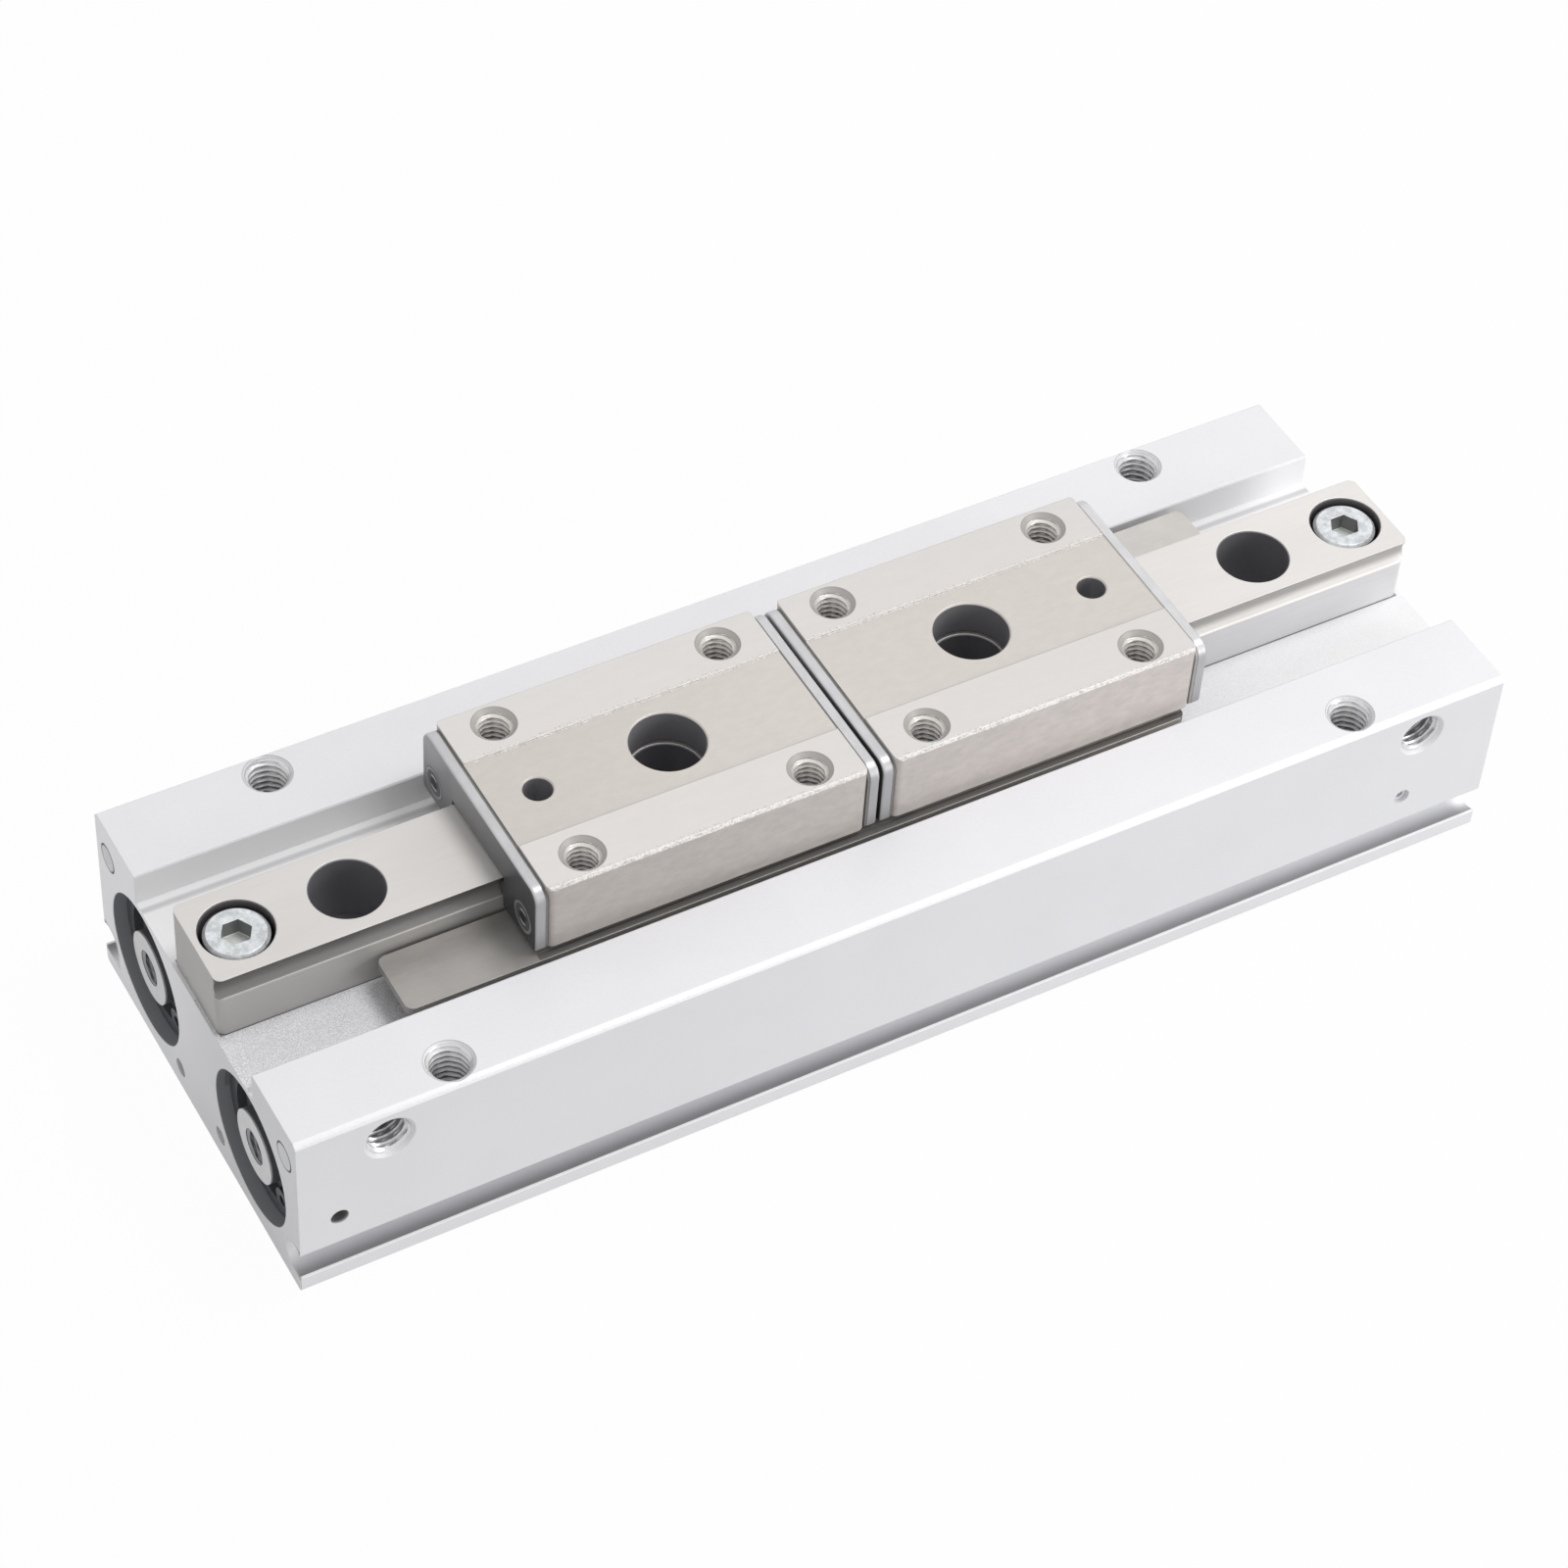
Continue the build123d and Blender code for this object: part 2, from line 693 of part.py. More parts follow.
def guide_balls():
    """Balls of the two loaded rows inside the right block."""
    count = int(finger_length / ball_spacing)
    first_x = finger_middle_x - (count - 1) * ball_spacing / 2
    for side in (-1, 1):
        for index in range(count):
            ball_x = first_x + index * ball_spacing
            yield Pos(ball_x, side * raceway_y, raceway_z) * Sphere(ball_diameter / 2)


def rack_teeth_outline():
    """Outline of the toothed bar seen from above: straight back, teeth towards the pinion."""
    slope = tan(radians(pressure_angle))
    half_tip = tooth_width / 2 - addendum * slope
    half_root = tooth_width / 2 + dedendum * slope
    tip_y = addendum - pitch_radius
    root_y = -dedendum - pitch_radius
    points = [(rack_left_x, -rack_back), (rack_left_x, root_y)]
    tooth_x = rack_left_x + tooth_pitch / 2
    while tooth_x < rack_right_x:
        points.append((tooth_x - half_root, root_y))
        points.append((tooth_x - half_tip, tip_y))
        points.append((tooth_x + half_tip, tip_y))
        points.append((tooth_x + half_root, root_y))
        tooth_x += tooth_pitch
    points += [(rack_right_x, root_y), (rack_right_x, -rack_back)]
    return make_face(Polyline(*points, close=True))


def rack():
    """Right finger's rack: a long plate beside the rail, a web and a toothed bar below the rail."""
    plate_length = rack_plate_inner_reach + rack_plate_outer_reach
    plate_middle_x = (rack_plate_outer_reach - rack_plate_inner_reach) / 2
    plate_middle_y = -(rack_inner_y + rack_outer_y) / 2
    outline = RectangleRounded(plate_length, rack_outer_y - rack_inner_y, rack_plate_corner)
    at_plate = Pos(plate_middle_x, plate_middle_y, rack_plate_bottom)
    piece = extrude(at_plate * outline, amount=rack_plate_thickness)
    pad_x = (finger_inner_x + rack_pad_end_inset, finger_outer_x - rack_pad_end_inset)
    pad_y = (-rail_slot_side - rack_pad_inset, rack_pad_inset - finger_width / 2)
    piece += block(pad_x, pad_y, (rack_plate_bottom, finger_bottom))
    web_y = (-rack_inner_y, -rack_back)
    piece += block((rack_left_x, rack_right_x), web_y, (gear_top, rack_plate_top))
    piece += extrude(Pos(0, 0, gear_bottom) * rack_teeth_outline(), amount=gear_thickness)
    pin_z = (rack_plate_bottom, rack_plate_top)
    pin_diameter = joint_pin_diameter + 2 * press_clearance
    piece -= post(pin_diameter, piston_middle_x, -joint_pin_y, pin_z)
    for end in (-1, 1):
        piece -= rack_screw(end, press_clearance)
    return piece


def rack_screw(end, play=0.0):
    """Countersunk screw from below the rack into the right block, or its hole with play."""
    x = finger_middle_x + end * rack_screw_spacing / 2
    head_height = (rack_screw_head_diameter - rack_screw_diameter) / 2
    head = Cone(rack_screw_head_diameter / 2 + play, rack_screw_diameter / 2 + play, head_height)
    top_z = finger_bottom + rack_screw_grip
    shank = post(rack_screw_diameter + 2 * play, x, -rack_screw_y, (rack_plate_bottom + head_height, top_z))
    return Pos(x, -rack_screw_y, rack_plate_bottom + head_height / 2) * head + shank


def joint_pin():
    """Pin that carries the piston's force up into the rack."""
    return post(joint_pin_diameter, piston_middle_x, -joint_pin_y, (joint_pin_bottom, rack_plate_top))


def piston_ring(end, from_end, width, outer_diameter, depth):
    """Ring in a groove of the right piston, placed from one of its ends."""
    outer_x = piston_middle_x + end * (piston_half_length - from_end)
    ring_x = (outer_x, outer_x - end * width)
    return sleeve(outer_diameter, 2 * (piston_radius - depth), ring_x, -bore_y, bore_z)


def piston():
    """Right finger's piston: a head at each end, a neck, and a boss for the joint pin."""
    left_x = piston_middle_x - piston_half_length
    right_x = piston_middle_x + piston_half_length
    piece = bar(2 * piston_radius, (left_x, right_x), -bore_y, bore_z)
    piece = chamfer(piece.edges().filter_by(GeomType.CIRCLE), piston_edge_chamfer)
    for end in (-1, 1):
        boss_x = piston_middle_x + end * joint_boss_length / 2
        neck_x = piston_middle_x + end * (piston_half_length - head_length)
        piece -= sleeve(2 * piston_radius, neck_diameter, (boss_x, neck_x), -bore_y, bore_z)
        piece -= piston_ring(end, seal_from_end, seal_width, bore_diameter, seal_depth)
        piece -= piston_ring(end, wear_ring_from_end, wear_ring_width, bore_diameter, wear_ring_depth)
    piece -= piston_ring(-1, magnet_from_end, magnet_width, bore_diameter, magnet_depth)
    pin_diameter = joint_pin_diameter + 2 * press_clearance
    pin_z = (joint_pin_bottom, bore_z + bore_diameter / 2)
    return piece - post(pin_diameter, piston_middle_x, -joint_pin_y, pin_z)


def piston_seals():
    """Sealing rings near the piston's ends."""
    outer = bore_diameter - 2 * wear_ring_clearance
    return [piston_ring(end, seal_from_end, seal_width, outer, seal_depth) for end in (-1, 1)]


def wear_rings():
    """Guide rings that keep the piston centred in its bore."""
    outer = bore_diameter - 2 * wear_ring_clearance
    return [
        piston_ring(end, wear_ring_from_end, wear_ring_width, outer, wear_ring_depth) for end in (-1, 1)
    ]


def magnet():
    """Ring magnet that the position switches sense."""
    return piston_ring(-1, magnet_from_end, magnet_width, 2 * piston_radius, magnet_depth)


def fixed_pieces():
    """Pieces that stay with the housing."""
    pieces = {
        "housing": housing(),
        "guide_rail": guide_rail(),
        "rail_screws": group(rail_screw(end) for end in (-1, 1)),
        "retaining_rings": group(at_bore_ends(retaining_ring)),
        "cap_o_rings": group(at_bore_ends(cap_o_ring)),
        "cap_bumpers": group(at_bore_ends(cap_bumper)),
        "passage_plugs": group(at_bore_ends(passage_plug)),
        "cross_passage_screw": cross_passage_screw(),
        "pinion_pin": pinion_pin(),
        "pinion": pinion(),
    }
    for end, end_name in ((-1, "left"), (1, "right")):
        for side, side_name in ((-1, "near"), (1, "far")):
            pieces[f"bore_cap_{end_name}_{side_name}"] = bore_cap(end, side)
    return pieces


def finger_pieces():
    """Pieces that move with the right finger, named without the side."""
    screws = [plate_screw(end, side) for end in (-1, 1) for side in (-1, 1)]
    return {
        "finger_block": finger_block(),
        "inner_end_plate": end_plate(-1),
        "outer_end_plate": end_plate(1),
        "end_seals": group(end_seal(end) for end in (-1, 1)),
        "end_plate_screws": group(screws),
        "guide_balls": group(guide_balls()),
        "rack": rack(),
        "rack_screws": group(rack_screw(end) for end in (-1, 1)),
        "joint_pin": joint_pin(),
        "piston": piston(),
        "piston_seals": group(piston_seals()),
        "wear_rings": group(wear_rings()),
        "magnet": magnet(),
    }


os.makedirs("parts", exist_ok=True)
nodes = fixed_pieces()
for name, piece in finger_pieces().items():
    nodes[f"right_{name}"] = piece
    nodes[f"left_{name}"] = turned(piece)
for name, piece in nodes.items():
    export_step(piece, f"parts/{name}.step")
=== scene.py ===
"""Dresses, lights and frames the low profile pneumatic gripper."""

import logging
from collections.abc import Iterable, Sequence
from dataclasses import dataclass
from enum import Enum
from functools import partial, reduce
from math import cos, pi, radians, sin, tau
from typing import Protocol

import bmesh
import bpy
from mathutils import Matrix, Vector


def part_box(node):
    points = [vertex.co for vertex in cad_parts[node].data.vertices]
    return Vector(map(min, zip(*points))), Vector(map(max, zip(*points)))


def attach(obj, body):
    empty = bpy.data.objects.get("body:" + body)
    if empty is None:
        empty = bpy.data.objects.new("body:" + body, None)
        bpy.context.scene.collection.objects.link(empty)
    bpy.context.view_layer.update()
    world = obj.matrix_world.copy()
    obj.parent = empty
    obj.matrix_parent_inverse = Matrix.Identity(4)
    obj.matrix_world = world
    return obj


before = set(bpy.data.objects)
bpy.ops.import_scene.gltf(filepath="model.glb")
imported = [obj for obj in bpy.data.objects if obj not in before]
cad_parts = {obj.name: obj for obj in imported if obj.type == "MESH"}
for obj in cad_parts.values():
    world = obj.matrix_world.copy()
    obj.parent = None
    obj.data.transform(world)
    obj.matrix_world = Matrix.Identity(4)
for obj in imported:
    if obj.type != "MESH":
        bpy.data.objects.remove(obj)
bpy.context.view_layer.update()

log = logging.getLogger("gripper")

MM = 0.001
BLUR = 0.02 * MM
SHARP_ANGLE = radians(35)
CORNERS = ((-1, -1), (-1, 1), (1, -1), (1, 1))

Colour = tuple[float, float, float]
Place = tuple[float, float, float]
Socket = bpy.types.NodeSocket
Value = Socket | float
Paint = Socket | Colour
Span = tuple[float, float]


class Body(Enum):
    """Bodies that the added pieces ride on, by the names that the frame gives them."""

    BASE = "base"
    RIGHT = "right_finger"
    LEFT = "left_finger"


class Finger(Enum):
    """The two fingers, and the way along X that each one opens."""

    RIGHT = 1
    LEFT = -1

    @property
    def side(self) -> str:
        """Word that the names of this finger's pieces start with."""
        return self.name.lower()

    @property
    def body(self) -> Body:
        """Body that this finger's pieces ride on."""
        return Body[self.name]


class Way(Enum):
    """Directions in which a threaded hole opens."""

    UP = (0.0, 0.0, 1.0)
    FRONT = (0.0, -1.0, 0.0)
    LEFT_END = (-1.0, 0.0, 0.0)
    RIGHT_END = (1.0, 0.0, 0.0)


@dataclass(frozen=True)
class Plan:
    """Places that the finishes and the added pieces take from the frame and from standard sizes."""

    end_x: float
    side_y: float
    body_top: float
    channel_floor: float
    rail_top: float
    rail_half: float
    rail_end: float
    finger_top: float
    finger_bottom: float
    finger_inner: float
    finger_outer: float
    finger_half: float
    bore_y: float
    bore_z: float
    channel_half: float = 14.6 * MM
    rail_hole_step: float = 36.8 * MM
    rail_screw_x: float = 67.5 * MM
    body_thread_x: float = 54.3 * MM
    body_thread_y: float = 21.8 * MM
    port_x: float = 62.4 * MM
    port_z: float = 19.5 * MM
    side_hole_z: float = 10.0 * MM
    side_hole_x: float = -68.15 * MM
    band_half: float = 6.35 * MM
    band_depth: float = 0.2 * MM
    finger_thread_x: float = 13.25 * MM
    finger_thread_y: float = 10.1 * MM
    plate_screw_y: float = 10.35 * MM
    plate_screw_z: float = 26.7 * MM
    plug_y: float = 22.1 * MM
    plug_z: float = 19.1 * MM
    groove_low: float = 2.45 * MM
    groove_high: float = 6.05 * MM

    @property
    def finger_middle(self) -> float:
        """Distance of a finger block's middle from the gripper's middle."""
        return (self.finger_inner + self.finger_outer) / 2

    @classmethod
    def from_frame(cls) -> "Plan":
        """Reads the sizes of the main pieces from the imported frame."""
        body_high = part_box("housing")[1]
        rail_low, rail_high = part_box("guide_rail")
        block_low, block_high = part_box("right_finger_block")
        cap_low, cap_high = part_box("bore_cap_right_far")
        return cls(
            end_x=body_high[0],
            side_y=body_high[1],
            body_top=body_high[2],
            channel_floor=rail_low[2],
            rail_top=rail_high[2],
            rail_half=rail_high[1],
            rail_end=rail_high[0],
            finger_top=block_high[2],
            finger_bottom=block_low[2],
            finger_inner=block_low[0],
            finger_outer=block_high[0],
            finger_half=block_high[1],
            bore_y=(cap_low[1] + cap_high[1]) / 2,
            bore_z=(cap_low[2] + cap_high[2]) / 2,
        )


class Tree:
    """Node tree of a material or of the world."""

    def __init__(self, tree: bpy.types.NodeTree) -> None:
        """Takes over a tree."""
        self.tree = tree

    def feed(self, socket: Socket, value: Value | Paint) -> None:
        """Gives an input either a link or a plain value.

        Args:
            socket: Input socket.
            value: Output socket, number, vector or colour.
        """
        if isinstance(value, Socket):
            self.tree.links.new(value, socket)
        elif socket.type == "RGBA":
            socket.default_value = (*value, 1.0)
        else:
            socket.default_value = value

    def node(self, kind: str, inputs: dict | None = None, **settings: object) -> bpy.types.Node:
        """Adds a node.

        Args:
            kind: Its type.
            inputs: Values and links of its inputs, by their names or numbers.
            settings: Its other settings.

        Returns:
            The node.
        """
        node = self.tree.nodes.new(f"ShaderNode{kind}")
        for name, value in settings.items():
            setattr(node, name, value)
        for name, value in (inputs or {}).items():
            self.feed(node.inputs[name], value)
        return node

    def math(self, operation: str, first: Value, second: Value = 0.0) -> Socket:
        """Result of a Math node, by the name of its operation."""
        return self.node("Math", {0: first, 1: second}, operation=operation).outputs[0]

    def both(self, *masks: Value) -> Socket:
        """Product of several masks or numbers."""
        return reduce(partial(self.math, "MULTIPLY"), masks)

    def either(self, *masks: Value) -> Socket:
        """Largest of several masks."""
        return reduce(partial(self.math, "MAXIMUM"), masks)

    def seen(self) -> Socket:
        """Mask of the rays that show the background: seen, mirrored or let through."""
        path = self.node("LightPath").outputs
        return self.either(path["Is Camera Ray"], path["Is Glossy Ray"], path["Is Transmission Ray"])


class Recipe(Tree):
    """Node tree of one material, put together step by step."""

    def __init__(self, name: str) -> None:
        """Starts a material with its shader and the part's coordinates.

        Args:
            name: Name of the material.
        """
        self.material = bpy.data.materials.new(name)
        self.material.use_nodes = True
        super().__init__(self.material.node_tree)
        self.tree.nodes.clear()
        self.shader = self.node("BsdfPrincipled")
        self.node("OutputMaterial", {"Surface": self.shader.outputs["BSDF"]})
        self.place = self.node("TexCoord").outputs["Object"]
        self.x, self.y, self.z = self.node("SeparateXYZ", {"Vector": self.place}).outputs
        self.wide = self.size(self.x)
        self.across = self.size(self.y)

    def size(self, value: Socket) -> Socket:
        """Distance of a value from zero, whatever its sign."""
        return self.math("ABSOLUTE", value)

    def less(self, first: Value, second: Value) -> Socket:
        """First value less the second."""
        return self.math("SUBTRACT", first, second)

    def spread(self, value: Socket, low: float, high: float,
               start: float = 0.0, end: float = 1.0) -> Socket:
        """Maps the range from low to high onto the one from start to end, with soft ends."""
        inputs = {"Value": value, "From Min": low, "From Max": high, "To Min": start, "To Max": end}
        return self.node("MapRange", inputs, interpolation_type="SMOOTHSTEP").outputs["Result"]

    def vary(self, marks: Socket, start: float, end: float) -> Socket:
        """Number that follows a noise from start to end."""
        return self.spread(marks, 0.2, 0.8, start, end)

    def fade(self, reach: float, start: float, end: float) -> Socket:
        """Number that goes from start at the left to end at the right, at equal reach from the middle."""
        return self.spread(self.x, -reach, reach, start, end)

    def above(self, value: Socket, limit: float, blur: float = BLUR) -> Socket:
        """Mask that is 1 where a value is over a limit."""
        return self.spread(value, limit - blur, limit + blur)

    def below(self, value: Socket, limit: float, blur: float = BLUR) -> Socket:
        """Mask that is 1 where a value is under a limit."""
        return self.spread(value, limit - blur, limit + blur, 1.0, 0.0)

    def between(self, value: Socket, low: float, high: float, blur: float = BLUR) -> Socket:
        """Mask that is 1 where a value lies between two limits."""
        return self.both(self.above(value, low, blur), self.below(value, high, blur))

    def zone(self, **limits: tuple[float | None, float | None]) -> Socket:
        """Mask of a box with soft borders.

        Args:
            limits: Lowest and highest value along x, y, z, wide or across, None where it is open.

        Returns:
            Output socket, 1 inside.
        """
        masks = []
        for name, (low, high) in limits.items():
            if low is not None:
                masks.append(self.above(getattr(self, name), low))
            if high is not None:
                masks.append(self.below(getattr(self, name), high))
        return self.both(*masks)

    def distance(self, first: Socket, second: Socket, centre: Span) -> Socket:
        """Distance from a centre in the plane of two coordinates, in metres."""
        sides = (self.less(first, centre[0]), self.less(second, centre[1]))
        return self.math("SQRT", self.math("ADD", *(self.both(side, side) for side in sides)))

    def around(self, first: Socket, second: Socket, centre: Span, radius: float) -> Socket:
        """Mask of a round column about a centre in the plane of two coordinates."""
        return self.below(self.distance(first, second, centre), radius)

    def noise(self, grain: float, detail: float = 3.0, stretch: Sequence[float] = (1, 1, 1),
              harsh: float = 0.5) -> Socket:
        """Noise of a given grain size.

        Args:
            grain: Size of a blotch in metres.
            detail: Octaves.
            stretch: How much longer the blotches are along each axis.
            harsh: Strength of the finer octaves.

        Returns:
            Output socket from 0 to 1.
        """
        scale = [1 / factor for factor in stretch]
        mapping = self.node("Mapping", {"Scale": scale, "Vector": self.place})
        inputs = {"Scale": 1 / grain, "Detail": detail, "Roughness": harsh}
        return self.node("TexNoise", {"Vector": mapping.outputs["Vector"], **inputs}).outputs["Fac"]

    def blend(self, mask: Value, under: Paint, over: Paint) -> Socket:
        """Colour that goes from one to another as a mask goes from 0 to 1."""
        return self.node("Mix", {0: mask, 6: under, 7: over}, data_type="RGBA").outputs[2]

    def shade(self, colour: Paint, amount: Socket) -> Socket:
        """Multiplies a colour by a number socket."""
        return self.node("VectorMath", {0: colour, "Scale": amount}, operation="SCALE").outputs["Vector"]

    def coat(self, colour: Paint, *layers: tuple[Value, Paint]) -> Paint:
        """Lays colours over each other, each one where its mask is 1.

        Args:
            colour: Colour of the ground.
            layers: Masks with their colours, from the lowest one up.

        Returns:
            Colour socket.
        """
        for mask, over in layers:
            colour = self.blend(mask, colour, over)
        return colour

    def rounded(self, radius: Value) -> Socket:
        """Normal that rounds the edges off by a radius."""
        return self.node("Bevel", {"Radius": radius}, samples=6).outputs["Normal"]

    def edges(self, radius: float, flat: float = 0.02, full: float = 0.25) -> Socket:
        """Mask of the sharp edges.

        Args:
            radius: Reach of the mask from an edge.
            flat: Turn of the normal, as one less its cosine, that still counts as flat.
            full: Turn that counts as a full edge.

        Returns:
            Output socket, 1 on an edge.
        """
        plain = self.node("NewGeometry").outputs["Normal"]
        turn = self.node("VectorMath", {0: self.rounded(radius), 1: plain}, operation="DOT_PRODUCT")
        return self.spread(self.less(1.0, turn.outputs["Value"]), flat, full)

    def bump(self, height: Socket, depth: float, strength: float, radius: Value | None = None) -> Socket:
        """Turns a height into a normal.

        Args:
            height: Height socket from 0 to 1.
            depth: Depth in metres from 0 to 1.
            strength: Strength of the effect.
            radius: Radius by which the edges are rounded off too.

        Returns:
            Normal socket.
        """
        inputs = {"Strength": strength, "Distance": depth, "Height": height}
        if radius is not None:
            inputs["Normal"] = self.rounded(radius)
        return self.node("Bump", inputs).outputs["Normal"]

    def finish(self, colour: Paint, metallic: float, roughness: Value, normal: Socket) -> bpy.types.Material:
        """Sets the shader and hands over the material.

        Args:
            colour: Base colour.
            metallic: Share of bare metal.
            roughness: Roughness.
            normal: Normal socket.

        Returns:
            The finished material.
        """
        inputs = {"Base Color": colour, "Metallic": metallic, "Roughness": roughness, "Normal": normal}
        for name, value in inputs.items():
            self.feed(self.shader.inputs[name], value)
        return self.material


class Finish(Protocol):
    """Anything that can make a material."""

    def build(self) -> bpy.types.Material:
        """Makes the material."""


@dataclass(frozen=True)
class AnodisedBody:
    """Bead blasted, clear anodised aluminium of the housing."""

    plan: Plan
    colour: Colour = (0.81, 0.81, 0.835)
    strip_colour: Colour = (0.86, 0.86, 0.865)
    # painted light: the channel walls are painted near white for light that falls on them
    painted_wall_colour: Colour = (0.98, 0.98, 0.99)
    # painted highlight: near white on the sharp edges, the long bevels and the groove lips
    bright_edge: Colour = (0.99, 0.99, 0.99)
    # painted shade on the channel floor along the rail's foot
    foot_shade_colour: Colour = (0.30, 0.30, 0.31)
    # painted shade: thin dark rings round the thread mouths
    rim_colour: Colour = (0.52, 0.52, 0.53)
    # painted shade inside the holes and the pinion's room
    hole_shade_colour: Colour = (0.22, 0.215, 0.22)
    # painted shade inside the small hole in the near side
    small_hole_shade_colour: Colour = (0.26, 0.255, 0.25)
    # painted shade in the recesses in front of the bore caps
    seat_shade_colour: Colour = (0.31, 0.315, 0.335)
    metallic: float = 0.15
    roughness: float = 0.48
    rim_ring: Span = (2.64 * MM, 2.74 * MM)
    thread_hole: float = 2.6 * MM
    mount_hole: float = 4.1 * MM
    side_hole: float = 1.05 * MM
    seat_radius: float = 9.2 * MM
    passage_half: float = 12.9 * MM

    def build(self) -> bpy.types.Material:
        """Material with blasting grain, a sparkling channel floor, painted highlights on its edges, painted
        light on its walls and left end, painted light and shade in its grooves, and painted shade in its
        holes, recesses and rings and along the rail's foot.
        """
        plan = self.plan
        mix = Recipe("anodised_body")
        fine = mix.noise(0.18 * MM)
        grain = mix.noise(0.13 * MM, 2.0, harsh=0.75)
        cloud = mix.vary(mix.noise(9 * MM, 2.0), 0.985, 1.01)
        # level includes painted light on the left end face
        level = mix.both(mix.spread(fine, 0.25, 0.75, 0.98, 1.015), cloud, self.end_level(mix))
        floor = self.floor_mask(mix)
        # the floor's sparkling grain lies on the near half only and fades out towards the right end: painted
        # light, for light that washes the grain out there
        near = mix.both(floor, mix.below(mix.y, 0.0),
                        mix.spread(mix.x, -0.4 * plan.end_x, plan.end_x, 1.0, 0.25))
        # painted shade along the rail's foot on the channel floor
        foot = mix.both(floor, mix.below(mix.across, plan.rail_half + 0.08 * MM, 0.05 * MM),
                        mix.below(mix.wide, plan.rail_end - 0.1 * MM, 0.05 * MM))
        lip = self.lip_highlight_mask(mix)
        colour = mix.coat(
            mix.shade(self.colour, level),
            # painted light on the channel walls
            (self.wall_mask(mix), self.painted_wall_colour),
            (floor, self.strip_colour),
            (near, mix.shade(self.colour, mix.spread(grain, 0.30, 0.72, 0.68, 1.18))),
            (foot, self.foot_shade_colour),
            # painted light and shade inside the switch grooves
            (self.groove_mask(mix), mix.shade(self.colour, self.groove_painted_light(mix))),
            # painted highlights on the sharp edges, the long bevels and the groove lips
            (mix.either(mix.edges(0.13 * MM), self.bevel_mask(mix, fine), lip), self.bright_edge),
            (self.rim_mask(mix), self.rim_colour),
            (self.seat_mask(mix), self.seat_shade_colour),
            (self.hole_mask(mix), self.hole_shade_colour),
            (self.small_hole_mask(mix), self.small_hole_shade_colour),
        )
        height = mix.math("ADD", fine, mix.both(near, grain, 2.0))
        normal = mix.bump(height, 0.005 * MM, 0.5, mix.spread(lip, 0.0, 1.0, 0.12 * MM, 0.40 * MM))
        roughness = mix.vary(grain, self.roughness - 0.06, self.roughness + 0.08)
        return mix.finish(colour, self.metallic, roughness, normal)

    def end_level(self, mix: Recipe) -> Socket:
        """Painted light on the left end face, lighter towards the far side, and 1 elsewhere."""
        gain = mix.spread(mix.y, -0.4 * self.plan.side_y, 0.7 * self.plan.side_y, -0.03, 0.22)
        face = mix.below(mix.x, 0.02 * MM - self.plan.end_x, 0.01 * MM)
        return mix.math("ADD", 1.0, mix.both(face, gain))

    def floor_mask(self, mix: Recipe) -> Socket:
        """Mask of the channel's floor."""
        floor = self.plan.channel_floor
        return mix.zone(across=(None, self.plan.channel_half - 0.05 * MM),
                        z=(floor - 0.1 * MM, floor + 0.05 * MM))

    def wall_mask(self, mix: Recipe) -> Socket:
        """Mask of the channel's side walls."""
        height = (self.plan.channel_floor + 0.05 * MM, self.plan.body_top - 0.22 * MM)
        return mix.zone(across=(None, self.plan.channel_half + 0.01 * MM), z=height)

    def bevel_mask(self, mix: Recipe, fine: Socket) -> Socket:
        """Mask of the painted highlight on the bevel along the upper long edges, with an uneven lower
        border, fainter towards the left end.

        Args:
            mix: Material that is being made.
            fine: Fine grain, from 0 to 1.

        Returns:
            Output socket, 1 on the bevel.
        """
        plan = self.plan
        reach = mix.math("ADD", mix.z, mix.vary(fine, -0.10 * MM, 0.10 * MM))
        return mix.both(
            mix.above(mix.across, plan.side_y - 0.60 * MM),
            mix.spread(mix.x, -plan.end_x, -0.4 * plan.end_x, 0.45, 1.0),
            mix.above(reach, plan.body_top - 0.36 * MM, 0.12 * MM),
            mix.below(mix.z, plan.body_top - 0.01 * MM, 0.01 * MM),
        )

    def lip_highlight_mask(self, mix: Recipe) -> Socket:
        """Mask of the painted highlight along the edge of the lip below each switch groove."""
        outside = mix.zone(across=(self.plan.side_y - 0.22 * MM, None),
                           z=(None, self.plan.groove_low + 0.05 * MM))
        return mix.both(outside, mix.above(mix.z, self.plan.groove_low - 0.26 * MM, 0.06 * MM))

    def rim_mask(self, mix: Recipe) -> Socket:
        """Mask of the thin rings of painted shade round the mouths of the threads in the top."""
        ring = mix.between(self.thread_radius(mix), *self.rim_ring, 0.03 * MM)
        return mix.both(ring, mix.above(mix.z, self.plan.body_top - 0.25 * MM))

    def thread_radius(self, mix: Recipe) -> Socket:
        """Distance from the axis of the nearest thread in the top."""
        return mix.distance(mix.wide, mix.across, (self.plan.body_thread_x, self.plan.body_thread_y))

    def groove_mask(self, mix: Recipe) -> Socket:
        """Mask of the inside of the switch grooves."""
        height = (self.plan.groove_low - 0.6 * MM, self.plan.groove_high + 0.6 * MM)
        return mix.both(mix.below(mix.across, self.plan.side_y - 0.08 * MM, 0.05 * MM),
                        mix.zone(across=(self.plan.side_y - 3.8 * MM, None), z=height))

    def groove_painted_light(self, mix: Recipe) -> Socket:
        """Painted light and shade inside the switch grooves: lighter where they are deeper, and darker
        towards the left end.
        """
        depth = mix.less(self.plan.side_y, mix.across)
        level = mix.spread(depth, 0.1 * MM, 2.6 * MM, 0.55, 1.40)
        return mix.both(level, mix.fade(self.plan.end_x, 0.70, 0.82))

    def seat_mask(self, mix: Recipe) -> Socket:
        """Mask of the recesses in front of the bore caps."""
        column = mix.around(mix.across, mix.z, (self.plan.bore_y, self.plan.bore_z), self.seat_radius)
        return mix.both(column, mix.below(mix.wide, self.plan.end_x - 0.06 * MM))

